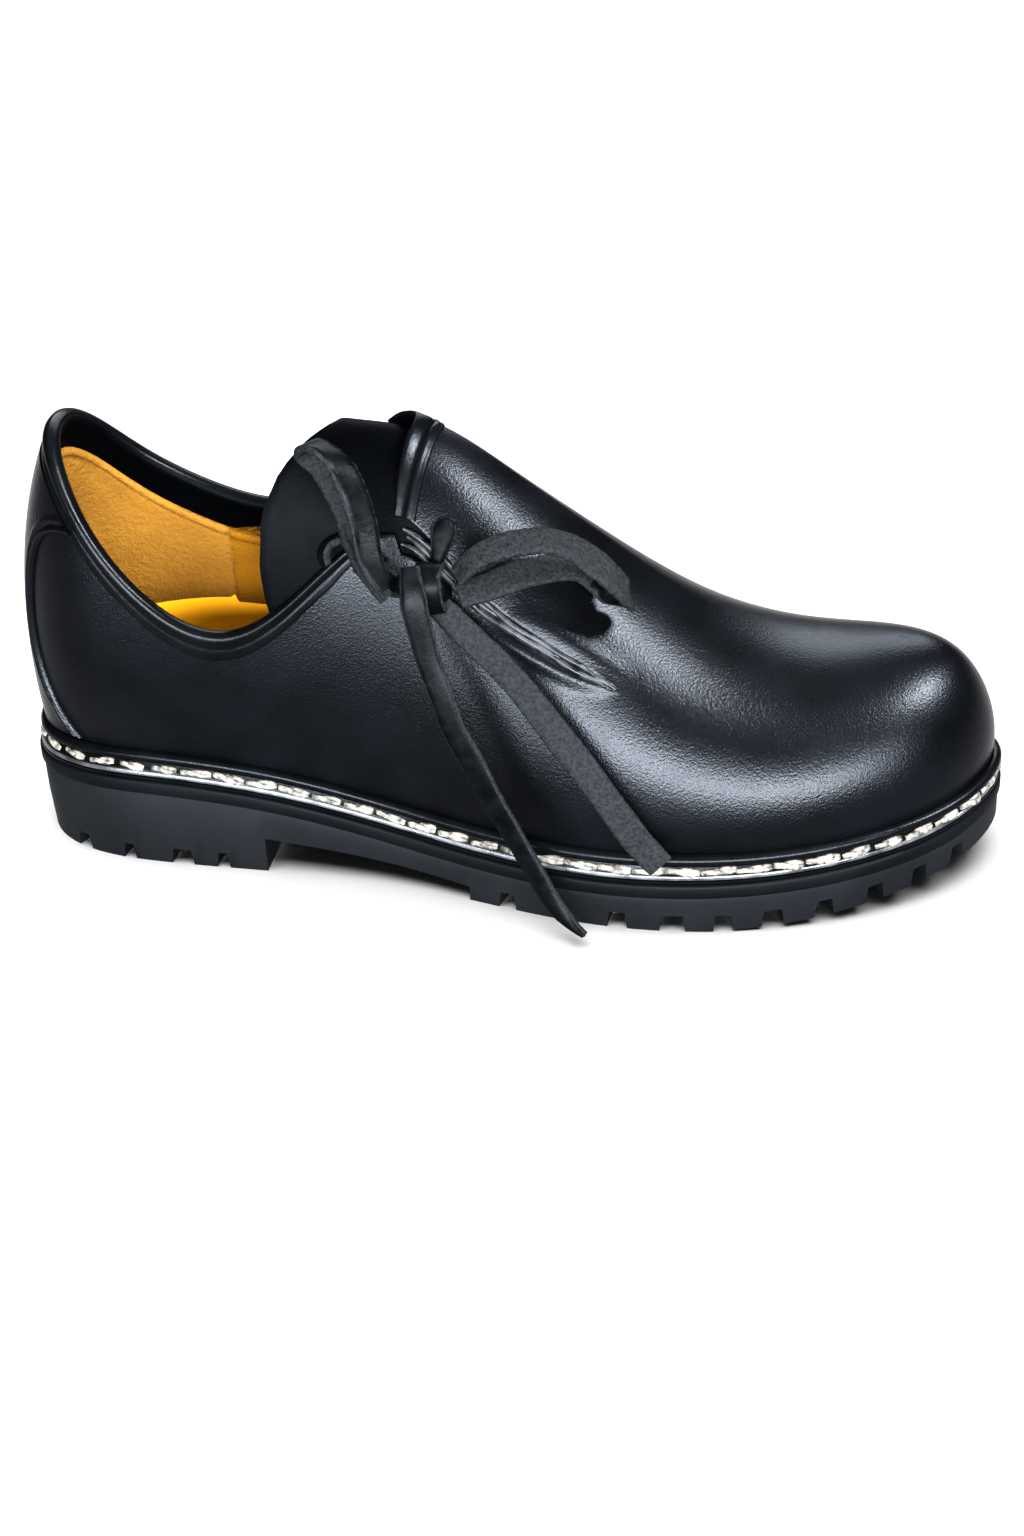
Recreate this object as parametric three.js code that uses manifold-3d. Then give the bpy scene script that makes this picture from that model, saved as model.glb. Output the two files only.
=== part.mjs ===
// Right haferl shoe in millimetres. +X runs to the toe, -Y to the outer side, +Z up.
// Every piece follows one last: a sole outline, and half sections that rise from it to a crown line.
import * as THREE from "three";
import Module from "manifold-3d";
import { mergeVertices } from "three/addons/utils/BufferGeometryUtils.js";

const wasm = await Module();
wasm.setup();

// Lengths of the whole shoe
const soleLength = 285;
const ballWidth = 104;
const heelWidth = 70.6;
const heelStack = 28.2;
const foreStack = 14.7;
const toeSpring = 12;
const instepHeight = 129;
const collarHeight = 126;

// Thicknesses and clearances
const gap = 0.3;
const midsoleThickness = 4.1;
const midsoleProud = 0.6;
const weltInset = 0.6;
const weltEdge = 2.4;
const weltHeight = 8;
const featherInset = 5.2;
const wall = 2.4;
const tongueThickness = 2.4;
const tongueClearance = 1;
const overlayThickness = 1.1;
const overlayGap = 0.7;
const bandHeight = 7;

// Tread
const heelTreadEnd = 74;
const foreTreadStart = 137;
const breastHeight = 11;
const treadStep = 4.5;
const notchHeight = 5;
const notchReach = 11;
const grooveDepth = 3;
const grooveWidth = 4;

// Lace
const laceWidth = 7.5;
const laceThickness = 2;

// The natural resting point: the middle of the heel tread
const heelCentre = heelTreadEnd / 2;

// Natural cubic spline through the points (xs, ys)
function spline(xs, ys) {
  const last = xs.length - 1;
  const bend = new Array(last + 1).fill(0);
  const carry = new Array(last + 1).fill(0);
  for (let i = 1; i < last; i++) {
    const share = (xs[i] - xs[i - 1]) / (xs[i + 1] - xs[i - 1]);
    const pivot = share * bend[i - 1] + 2;
    const step = (ys[i + 1] - ys[i]) / (xs[i + 1] - xs[i]) - (ys[i] - ys[i - 1]) / (xs[i] - xs[i - 1]);
    bend[i] = (share - 1) / pivot;
    carry[i] = ((6 * step) / (xs[i + 1] - xs[i - 1]) - share * carry[i - 1]) / pivot;
  }
  bend[last] = 0;
  for (let i = last - 1; i >= 0; i--) {
    bend[i] = bend[i] * bend[i + 1] + carry[i];
  }
  return (x) => {
    let i = 1;
    while (i < last && xs[i] < x) {
      i++;
    }
    const span = xs[i] - xs[i - 1];
    const a = (xs[i] - x) / span;
    const b = 1 - a;
    const curve = ((a ** 3 - a) * bend[i - 1] + (b ** 3 - b) * bend[i]) * span * span / 6;
    return a * ys[i - 1] + b * ys[i] + curve;
  };
}

// One column of a table as a smooth function of another
function column(rows, key, name) {
  return spline(rows.map((row) => row[key]), rows.map((row) => row[name]));
}

// A column over the half outline, mirrored past both ends so that the two halves join without a kink
function mirrored(rows, name) {
  const before = rows.filter((row) => row.edge > 0 && row.edge < 0.35).reverse();
  const after = rows.filter((row) => row.edge > 0.7 && row.edge < 1).reverse();
  const keys = [
    ...before.map((row) => -row.edge),
    ...rows.map((row) => row.edge),
    ...after.map((row) => 2 - row.edge),
  ];
  const values = [...before, ...rows, ...after].map((row) => row[name]);
  return spline(keys, values);
}

// Sole outline, round the shoe from the heel's back by the outer side to the toe and back
const outlineRows = [
  { along: 0, across: 0, width: heelWidth },
  { along: 0.02, across: -0.285, width: heelWidth },
  { along: 0.07, across: -0.43, width: heelWidth },
  { along: 0.15, across: -0.49, width: heelWidth },
  { along: 0.28, across: -0.505, width: heelWidth },
  { along: 0.4, across: -0.366, width: ballWidth },
  { along: 0.5, across: -0.432, width: ballWidth },
  { along: 0.6, across: -0.494, width: ballWidth },
  { along: 0.7, across: -0.505, width: ballWidth },
  { along: 0.8, across: -0.455, width: ballWidth },
  { along: 0.9, across: -0.335, width: ballWidth },
  { along: 0.965, across: -0.19, width: ballWidth },
  { along: 1, across: 0.05, width: ballWidth },
  { along: 0.975, across: 0.22, width: ballWidth },
  { along: 0.92, across: 0.355, width: ballWidth },
  { along: 0.84, across: 0.455, width: ballWidth },
  { along: 0.73, across: 0.49, width: ballWidth },
  { along: 0.6, across: 0.425, width: ballWidth },
  { along: 0.48, across: 0.338, width: ballWidth },
  { along: 0.37, across: 0.455, width: heelWidth },
  { along: 0.23, across: 0.495, width: heelWidth },
  { along: 0.12, across: 0.472, width: heelWidth },
  { along: 0.055, across: 0.4, width: heelWidth },
  { along: 0.015, across: 0.25, width: heelWidth },
];

const outer = -1;
const inner = 1;
const outlineSamples = 720;

// The outline as two lists of points, one for each half, from the heel's back to the toe's tip
function sampleHalves() {
  const count = outlineRows.length;
  const wrap = 4;
  const keys = [];
  const xs = [];
  const ys = [];
  let travelled = 0;
  for (let i = -wrap; i <= count + wrap; i++) {
    const row = outlineRows[(i + count) % count];
    const x = row.along * soleLength;
    const y = row.across * row.width;
    if (keys.length > 0) {
      travelled += Math.hypot(x - xs.at(-1), y - ys.at(-1));
    }
    keys.push(travelled);
    xs.push(x);
    ys.push(y);
  }
  const alongAt = spline(keys, xs);
  const acrossAt = spline(keys, ys);
  const from = keys[wrap];
  const round = keys[wrap + count] - from;
  const loop = [];
  for (let i = 0; i < outlineSamples; i++) {
    const key = from + (round * i) / outlineSamples;
    loop.push({ x: alongAt(key), y: acrossAt(key) });
  }
  let tip = 0;
  let back = 0;
  loop.forEach((point, i) => {
    tip = point.x > loop[tip].x ? i : tip;
    back = point.x < loop[back].x ? i : back;
  });
  const shift = (i) => loop[(i + outlineSamples) % outlineSamples];
  const outerCount = (tip - back + outlineSamples) % outlineSamples;
  const outerHalf = [];
  for (let i = 0; i <= outerCount; i++) {
    outerHalf.push(shift(back + i));
  }
  const innerHalf = [];
  for (let i = 0; i <= outlineSamples - outerCount; i++) {
    innerHalf.push(shift(back - i + outlineSamples));
  }
  return { [outer]: withLengths(outerHalf), [inner]: withLengths(innerHalf) };
}

// Each point's share of its half's length, as splines of that share
function withLengths(points) {
  const shares = [0];
  for (let i = 1; i < points.length; i++) {
    const step = Math.hypot(points[i].x - points[i - 1].x, points[i].y - points[i - 1].y);
    shares.push(shares[i - 1] + step);
  }
  const total = shares.at(-1);
  return { total, shares: shares.map((value) => value / total), points };
}

const halves = sampleHalves();

// Outline point of one half at a share "edge" of its length, moved in from the edge by "inset"
function outlinePoint(side, edge, inset) {
  const { shares, points } = halves[side];
  let i = 1;
  while (i < shares.length - 1 && shares[i] < edge) {
    i++;
  }
  const t = (edge - shares[i - 1]) / (shares[i] - shares[i - 1]);
  const a = points[i - 1];
  const b = points[i];
  const before = points[Math.max(i - 3, 0)];
  const after = points[Math.min(i + 2, points.length - 1)];
  const length = Math.hypot(after.x - before.x, after.y - before.y);
  let inwardX = (side * (after.y - before.y)) / length;
  let inwardY = (-side * (after.x - before.x)) / length;
  const atEnd = edge < 0.004 || edge > 0.996;
  if (atEnd) {
    inwardX = edge < 0.5 ? 1 : -1;
    inwardY = 0;
  }
  return { x: a.x + (b.x - a.x) * t + inwardX * inset, y: a.y + (b.y - a.y) * t + inwardY * inset };
}

// Height of the midsole's top edge, as shares of the heel's extra height and of the toe spring
const stackRows = [
  { along: 0, heel: 0.93, toe: 0 },
  { along: 0.12, heel: 1, toe: 0 },
  { along: 0.28, heel: 0.73, toe: 0 },
  { along: 0.42, heel: 0.19, toe: 0 },
  { along: 0.55, heel: 0.01, toe: 0 },
  { along: 0.68, heel: 0, toe: 0.04 },
  { along: 0.8, heel: 0, toe: 0.14 },
  { along: 0.9, heel: 0, toe: 0.33 },
  { along: 0.96, heel: 0, toe: 0.56 },
  { along: 1, heel: 0, toe: 0.8 },
];
const heelShare = column(stackRows, "along", "heel");
const toeShare = column(stackRows, "along", "toe");
const springStart = 0.66;
const springPower = 2.3;

function stackTop(x) {
  const along = x / soleLength;
  return foreStack + (heelStack - foreStack) * heelShare(along) + toeSpring * toeShare(along);
}

function treadBottom(x) {
  const share = Math.max(0, x / soleLength - springStart) / (1 - springStart);
  return toeSpring * share ** springPower;
}

// The last: half sections that rise from the feather edge to the crown line.
// "along", "across" and "high" place the crown, "side" and "top" are the fullness of the curve
// near the feather and near the crown, and "belly" pushes the lower wall out.
const lastRows = [
  { edge: 0, along: 0.16, across: 0, high: 1.16, side: 2, top: 3.5, belly: 0.03 },
  { edge: 0.12, along: 0.19, across: 0, high: 1.14, side: 2, top: 3.5, belly: 0.028 },
  { edge: 0.24, along: 0.27, across: 0.01, high: 1.07, side: 2, top: 3.4, belly: 0.022 },
  { edge: 0.32, along: 0.345, across: 0.02, high: 1.02, side: 2, top: 3, belly: 0.02 },
  { edge: 0.41, along: 0.437, across: 0.03, high: 0.985, side: 2, top: 2.7, belly: 0.02 },
  { edge: 0.48, along: 0.515, across: 0.035, high: 0.873, side: 2, top: 2.6, belly: 0.02 },
  { edge: 0.56, along: 0.6, across: 0.035, high: 0.735, side: 2, top: 2.5, belly: 0.02 },
  { edge: 0.66, along: 0.705, across: 0.035, high: 0.58, side: 2.05, top: 2.5, belly: 0.022 },
  { edge: 0.76, along: 0.795, across: 0.04, high: 0.51, side: 2.2, top: 2.6, belly: 0.026 },
  { edge: 0.87, along: 0.86, across: 0.045, high: 0.51, side: 2.6, top: 3, belly: 0.028 },
  { edge: 1, along: 0.892, across: 0.05, high: 0.512, side: 2.8, top: 3.5, belly: 0.028 },
];
const crownAlong = mirrored(lastRows, "along");
const crownAcross = mirrored(lastRows, "across");
const crownHigh = mirrored(lastRows, "high");
const sideFull = mirrored(lastRows, "side");
const topFull = mirrored(lastRows, "top");
const bellyShare = mirrored(lastRows, "belly");
const bellyPeak = 6.75;
const arcSamples = 40;
const turnSpread = 1.6;

// One half section: where it starts, which way it leans in, how far and how high it goes
function makeSection(side, edge) {
  const foot = outlinePoint(side, edge, featherInset);
  const crown = { x: crownAlong(edge) * soleLength, y: crownAcross(edge) * ballWidth };
  const reach = Math.hypot(crown.x - foot.x, crown.y - foot.y);
  const base = stackTop(foot.x) + gap;
  const section = {
    foot,
    base,
    reach,
    inX: (crown.x - foot.x) / reach,
    inY: (crown.y - foot.y) / reach,
    rise: crownHigh(edge) * instepHeight - base,
    side: sideFull(edge),
    top: topFull(edge),
    belly: bellyShare(edge) * ballWidth,
  };
  const lengths = [0];
  let previous = sectionPoint(section, 0);
  for (let i = 1; i <= arcSamples; i++) {
    const next = sectionPoint(section, turnOf(i / arcSamples));
    lengths.push(lengths[i - 1] + next.distanceTo(previous));
    previous = next;
  }
  section.lengths = lengths;
  return section;
}

// Turn of the section's curve, spread so that the steep lower wall gets its share of samples
function turnOf(share) {
  return (Math.PI / 2) * share ** turnSpread;
}

function sectionPoint(section, turn) {
  const inward = 1 - Math.max(0, Math.cos(turn)) ** (2 / section.side);
  const high = Math.sin(turn) ** (2 / section.top);
  const belly = section.belly * bellyPeak * high * (1 - high) ** 2;
  const shift = section.reach * inward - belly;
  return new THREE.Vector3(
    section.foot.x + section.inX * shift,
    section.foot.y + section.inY * shift,
    section.base + section.rise * high,
  );
}

const sectionStore = new Map();

function sectionAt(side, edge) {
  const key = `${side} ${edge.toFixed(6)}`;
  if (!sectionStore.has(key)) {
    sectionStore.set(key, makeSection(side, edge));
  }
  return sectionStore.get(key);
}

// Turn at a share "up" of the half section's length
function turnAt(section, up) {
  const target = up * section.lengths[arcSamples];
  let i = 1;
  while (i < arcSamples && section.lengths[i] < target) {
    i++;
  }
  const t = (target - section.lengths[i - 1]) / (section.lengths[i] - section.lengths[i - 1]);
  return turnOf((i - 1 + t) / arcSamples);
}

// Share of the half section's length at which it reaches the height z
function upAtHeight(side, edge, z) {
  const section = sectionAt(side, edge);
  const high = Math.min(1, Math.max(0, (z - section.base) / section.rise));
  const share = (Math.asin(high ** (section.top / 2)) / (Math.PI / 2)) ** (1 / turnSpread);
  const i = Math.min(arcSamples - 1, Math.floor(share * arcSamples));
  const t = share * arcSamples - i;
  const length = section.lengths[i] + (section.lengths[i + 1] - section.lengths[i]) * t;
  return length / section.lengths[arcSamples];
}

// The skin of the last as one surface. "round" goes once round the shoe from the heel's back by
// the outer side, and "up" goes from the feather edge (0) to the crown (1) and on down the far side.
function skinPoint(round, up) {
  let place = up > 1 ? 1 - round : round;
  const height = up > 1 ? 2 - up : up;
  place -= Math.floor(place);
  const side = place <= 0.5 ? outer : inner;
  const edge = place <= 0.5 ? 2 * place : 2 - 2 * place;
  const section = sectionAt(side, edge);
  return sectionPoint(section, turnAt(section, height));
}

const normalStep = 0.004;

// Skin point moved in along the surface's normal by "depth"
function skin(round, up, depth) {
  const point = skinPoint(round, up);
  const low = Math.max(up - normalStep, 0);
  const ahead = skinPoint(round + normalStep, up).sub(skinPoint(round - normalStep, up));
  const above = skinPoint(round, low + 2 * normalStep).sub(skinPoint(round, low));
  const normal = ahead.cross(above).normalize();
  return point.addScaledVector(normal, -depth);
}

// The edge line: collar, then slit on the outer side, then the lower vamp, as heights of the skin
const edgeLineRows = [
  { edge: 0, outerHigh: 1, innerHigh: 1 },
  { edge: 0.08, outerHigh: 0.95, innerHigh: 0.95 },
  { edge: 0.15, outerHigh: 0.79, innerHigh: 0.83 },
  { edge: 0.22, outerHigh: 0.63, innerHigh: 0.735 },
  { edge: 0.27, outerHigh: 0.6, innerHigh: 0.71 },
  { edge: 0.32, outerHigh: 0.68, innerHigh: 0.74 },
  { edge: 0.37, outerHigh: 0.805, innerHigh: 0.815 },
  { edge: 0.41, outerHigh: 0.83, innerHigh: 0.9 },
  { edge: 0.46, outerHigh: 0.735, innerHigh: 0.8 },
  { edge: 0.53, outerHigh: 0.62, innerHigh: 0.67 },
  { edge: 0.6, outerHigh: 0.53, innerHigh: 0.56 },
  { edge: 0.7, outerHigh: 0.42, innerHigh: 0.44 },
  { edge: 0.85, outerHigh: 0.38, innerHigh: 0.38 },
  { edge: 1, outerHigh: 0.38, innerHigh: 0.38 },
];
const outerLine = mirrored(edgeLineRows, "outerHigh");
const innerLine = mirrored(edgeLineRows, "innerHigh");
const flapEdge = 0.41;
const slitEnd = 0.6;
const slitMouth = 5;
const slitWidth = 2.4;

function lineUp(side, edge) {
  const high = side === outer ? outerLine(edge) : innerLine(edge);
  return upAtHeight(side, edge, high * collarHeight);
}

// Half the slit's width at a place along it, as a share of the half section
function slitShare(edge) {
  const along = (edge - flapEdge) / (slitEnd - flapEdge);
  if (along >= 1) {
    return 0;
  }
  const section = sectionAt(outer, edge);
  const half = slitWidth * Math.sqrt(1 - along) + (slitMouth - slitWidth) * (1 - along) ** 6;
  return half / section.lengths[arcSamples];
}

function roundOf(side, edge) {
  return side === outer ? edge / 2 : 1 - edge / 2;
}

// Solids

function solidFromLists(points, triangles) {
  const geometry = new THREE.BufferGeometry();
  const positions = points.flatMap((point) => [point.x, point.y, point.z]);
  geometry.setAttribute("position", new THREE.Float32BufferAttribute(positions, 3));
  geometry.setIndex(triangles.flat());
  return geometry;
}

function toManifold(geometry) {
  const bare = geometry.clone();
  bare.deleteAttribute("normal");
  bare.deleteAttribute("uv");
  const merged = mergeVertices(bare, 1e-4);
  return new wasm.Manifold(new wasm.Mesh({
    numProp: 3,
    vertProperties: new Float32Array(merged.attributes.position.array),
    triVerts: new Uint32Array(merged.index.array),
  }));
}

function toGeometry(manifold) {
  const mesh = manifold.getMesh();
  const geometry = new THREE.BufferGeometry();
  geometry.setAttribute("position", new THREE.Float32BufferAttribute(mesh.vertProperties, 3));
  geometry.setIndex(Array.from(mesh.triVerts));
  return geometry;
}

// Quads between two rows of point numbers, as triangles
function bandBetween(first, second) {
  const triangles = [];
  for (let i = 0; i < first.length - 1; i++) {
    triangles.push([first[i], first[i + 1], second[i + 1]]);
    triangles.push([first[i], second[i + 1], second[i]]);
  }
  return triangles;
}

// Closed solid between a grid of front points and the same grid of back points
function shellFromGrids(front, back) {
  const rows = front.length;
  const columns = front[0].length;
  const points = [...front.flat(), ...back.flat()];
  const frontAt = (r, c) => r * columns + c;
  const backAt = (r, c) => rows * columns + r * columns + c;
  const triangles = [];
  for (let r = 0; r < rows - 1; r++) {
    for (let c = 0; c < columns - 1; c++) {
      triangles.push([frontAt(r, c), frontAt(r, c + 1), frontAt(r + 1, c + 1)]);
      triangles.push([frontAt(r, c), frontAt(r + 1, c + 1), frontAt(r + 1, c)]);
      triangles.push([backAt(r, c), backAt(r + 1, c + 1), backAt(r, c + 1)]);
      triangles.push([backAt(r, c), backAt(r + 1, c), backAt(r + 1, c + 1)]);
    }
  }
  const rim = [];
  for (let c = 0; c < columns - 1; c++) {
    rim.push([0, c]);
  }
  for (let r = 0; r < rows - 1; r++) {
    rim.push([r, columns - 1]);
  }
  for (let c = columns - 1; c > 0; c--) {
    rim.push([rows - 1, c]);
  }
  for (let r = rows - 1; r > 0; r--) {
    rim.push([r, 0]);
  }
  rim.forEach(([r, c], i) => {
    const [nextR, nextC] = rim[(i + 1) % rim.length];
    triangles.push([frontAt(r, c), backAt(r, c), backAt(nextR, nextC)]);
    triangles.push([frontAt(r, c), backAt(nextR, nextC), frontAt(nextR, nextC)]);
  });
  return solidFromLists(points, triangles);
}

const halfSteps = 32;

// Closed ring of points round the shoe, one for each station of both halves
function ringOf(pointOf) {
  const ring = [];
  for (let i = 0; i <= halfSteps; i++) {
    ring.push(pointOf(outer, i / halfSteps));
  }
  for (let i = halfSteps - 1; i > 0; i--) {
    ring.push(pointOf(inner, i / halfSteps));
  }
  return ring;
}

// Solid through rings from the lowest to the highest, with ruled faces across its two ends
function plateFromRings(rings) {
  const size = rings[0].length;
  const points = rings.flat();
  const triangles = [];
  for (let r = 0; r < rings.length - 1; r++) {
    const low = [];
    const high = [];
    for (let i = 0; i <= size; i++) {
      low.push(r * size + (i % size));
      high.push((r + 1) * size + (i % size));
    }
    triangles.push(...bandBetween(low, high));
  }
  const ends = [{ ring: 0, flip: true }, { ring: rings.length - 1, flip: false }];
  ends.forEach(({ ring, flip }) => {
    for (let i = 0; i < size / 2; i++) {
      const a = ring * size + i;
      const b = ring * size + i + 1;
      const c = ring * size + ((size - i - 1) % size);
      const d = ring * size + ((size - i) % size);
      const faces = [[a, b, c], [a, c, d]].filter((face) => new Set(face).size === 3);
      triangles.push(...faces.map((face) => (flip ? [...face].reverse() : face)));
    }
  });
  return solidFromLists(points, triangles);
}

// Solid strip that closes on itself, from a list of profile points at each station
function loopStrip(profileOf) {
  const profiles = ringOf((side, edge) => profileOf(side, edge));
  const size = profiles[0].length;
  const points = profiles.flat();
  const triangles = [];
  profiles.forEach((profile, i) => {
    const next = (i + 1) % profiles.length;
    const here = [];
    const there = [];
    for (let k = 0; k <= size; k++) {
      here.push(i * size + (k % size));
      there.push(next * size + (k % size));
    }
    triangles.push(...bandBetween(there, here));
  });
  return solidFromLists(points, triangles);
}

// Sole

function soleRing(insetOf, heightOf) {
  return ringOf((side, edge) => {
    const rim = outlinePoint(side, edge, 0);
    const point = outlinePoint(side, edge, insetOf(rim.x));
    return new THREE.Vector3(point.x, point.y, heightOf(point.x));
  });
}

// The heel's lower wall draws in, most of all round its back
const heelTaper = 1.2;
const heelTaperEnd = 0.3;

function wallTaper(x) {
  const share = Math.max(0, 1 - x / (soleLength * heelTaperEnd));
  return heelTaper * Math.sqrt(share);
}

function cutter(shape, depth, place) {
  const prism = new THREE.ExtrudeGeometry(shape, { depth, bevelEnabled: false });
  prism.applyMatrix4(place);
  return toManifold(prism);
}

function polygon(corners) {
  return new THREE.Shape(corners.map(([x, y]) => new THREE.Vector2(x, y)));
}

// Space under the waist between the heel's breast and the forefoot tread
const breastLean = 3.6;
const stepLean = 1;

function waistCutter() {
  const low = -treadStep;
  const shape = polygon([
    [heelTreadEnd, low],
    [foreTreadStart + stepLean, low],
    [foreTreadStart, 0],
    [foreTreadStart - stepLean, treadStep],
    [heelTreadEnd + breastLean, breastHeight],
    [heelTreadEnd, 0],
  ]);
  const width = ballWidth * 2;
  const place = new THREE.Matrix4().makeBasis(
    new THREE.Vector3(1, 0, 0),
    new THREE.Vector3(0, 0, 1),
    new THREE.Vector3(0, -1, 0),
  );
  place.setPosition(0, width / 2, 0);
  return cutter(shape, width, place);
}

// Notches between the lugs, as shares of the sole's length
const notchRows = [
  { along: 0.06, width: 4 },
  { along: 0.115, width: 2.6 },
  { along: 0.174, width: 5.4 },
  { along: 0.218, width: 2.6 },
  { along: 0.521, width: 4 },
  { along: 0.58, width: 3.4 },
  { along: 0.634, width: 4.4 },
  { along: 0.689, width: 6 },
  { along: 0.739, width: 4.2 },
  { along: 0.787, width: 5 },
  { along: 0.836, width: 4.4 },
  { along: 0.884, width: 4.2 },
  { along: 0.926, width: 4 },
  { along: 0.962, width: 4 },
];

const notchFlare = 0.7;
const notchMouth = 1.05;

// Share of a half outline at which it first reaches x
function edgeAtX(side, x) {
  const { shares, points } = halves[side];
  const i = points.findIndex((point) => point.x >= x);
  return shares[i];
}

function notchCutter(side, row) {
  const edge = edgeAtX(side, row.along * soleLength);
  const rim = outlinePoint(side, edge, 0);
  const deep = outlinePoint(side, edge, notchReach);
  const inward = new THREE.Vector3(deep.x - rim.x, deep.y - rim.y, 0).normalize();
  const up = new THREE.Vector3(0, 0, 1);
  const along = new THREE.Vector3().crossVectors(up, inward);
  const half = row.width / 2;
  const shape = polygon([
    [-half - notchMouth, -notchHeight],
    [half + notchMouth, -notchHeight],
    [half + notchFlare, 0],
    [half, notchHeight],
    [-half, notchHeight],
    [-half - notchFlare, 0],
  ]);
  const place = new THREE.Matrix4().makeBasis(along, up, inward);
  const start = outlinePoint(side, edge, -treadStep);
  place.setPosition(start.x, start.y, treadBottom(rim.x));
  return cutter(shape, notchReach + treadStep, place);
}

// Cross grooves under the middle of the tread, clear of the notches at its sides
const grooveRows = [
  { along: 0.05, width: 0.34 },
  { along: 0.19, width: 0.4 },
  { along: 0.54, width: 0.38 },
  { along: 0.6, width: 0.46 },
  { along: 0.66, width: 0.5 },
  { along: 0.72, width: 0.5 },
  { along: 0.78, width: 0.46 },
  { along: 0.84, width: 0.4 },
  { along: 0.9, width: 0.28 },
];

function grooveCutter(row) {
  const long = row.width * ballWidth;
  const floor = treadBottom(row.along * soleLength);
  const box = new THREE.BoxGeometry(grooveWidth, long, grooveDepth * 2);
  box.translate(row.along * soleLength, 0, floor);
  return toManifold(box);
}

// Height and taper of the outsole wall's middle, as shares of the whole wall's
const wallMiddle = 0.45;
const middleTaper = 0.35;

function outsole() {
  const roof = (x) => stackTop(x) - midsoleThickness - gap;
  const mid = (x) => treadBottom(x) + (roof(x) - treadBottom(x)) * wallMiddle;
  const inset = (x) => midsoleProud + wallTaper(x) * middleTaper;
  const low = soleRing((x) => midsoleProud + wallTaper(x), treadBottom);
  const middle = soleRing(inset, mid);
  const high = soleRing(() => midsoleProud, roof);
  let body = toManifold(plateFromRings([low, middle, high]));
  body = body.subtract(waistCutter());
  [outer, inner].forEach((side) => {
    notchRows.forEach((row) => {
      body = body.subtract(notchCutter(side, row));
    });
  });
  grooveRows.forEach((row) => {
    body = body.subtract(grooveCutter(row));
  });
  return toGeometry(body);
}

function midsole() {
  const low = soleRing(() => 0, (x) => stackTop(x) - midsoleThickness);
  const high = soleRing(() => 0, stackTop);
  return plateFromRings([low, high]);
}

// Skin of the upper at a height above the midsole, pushed out by a clearance
function upperAt(side, edge, rise, clearance) {
  const base = sectionAt(side, edge).base;
  const up = upAtHeight(side, edge, base + rise);
  const point = skin(roundOf(side, edge), up, -clearance);
  point.z = base + rise;
  return point;
}

// The welt: a flat lip at the sole's edge that climbs to a ridge against the upper.
// "rise" is a height over the welt's foot and "out" a distance from the upper's skin.
const crestRise = weltHeight + 0.4;
const crestOut = gap + 1;
const shoulderRise = weltHeight - 1.4;
const shoulderOut = gap + 1.7;
const slopeRise = weltEdge + 1.4;
const slopeOut = gap + 2.6;

function welt() {
  return loopStrip((side, edge) => {
    const lip = outlinePoint(side, edge, weltInset);
    const lipBase = stackTop(lip.x) + gap;
    const foot = upperAt(side, edge, 0, gap);
    const wallMid = upperAt(side, edge, weltHeight / 2, gap);
    const wallTop = upperAt(side, edge, weltHeight, gap);
    const crest = upperAt(side, edge, crestRise, crestOut);
    const shoulder = upperAt(side, edge, shoulderRise, shoulderOut);
    const slope = upperAt(side, edge, slopeRise, slopeOut);
    return [
      new THREE.Vector3(lip.x, lip.y, lipBase),
      new THREE.Vector3(lip.x, lip.y, lipBase + weltEdge),
      slope,
      shoulder,
      crest,
      wallTop,
      wallMid,
      foot,
    ];
  });
}

// Upper: an outer and an inner skin, joined along the feather edge, the edge line and the slit
const lowerRows = 9;
const flapRows = 7;
const collarSteps = 14;
const slitSteps = 9;
const toeSteps = 13;

function upperStations() {
  const stations = [];
  for (let i = 0; i < collarSteps; i++) {
    stations.push((flapEdge * i) / collarSteps);
  }
  for (let i = 0; i < slitSteps; i++) {
    stations.push(flapEdge + ((slitEnd - flapEdge) * i) / slitSteps);
  }
  for (let i = 0; i <= toeSteps; i++) {
    stations.push(slitEnd + ((1 - slitEnd) * i) / toeSteps);
  }
  return stations;
}

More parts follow.
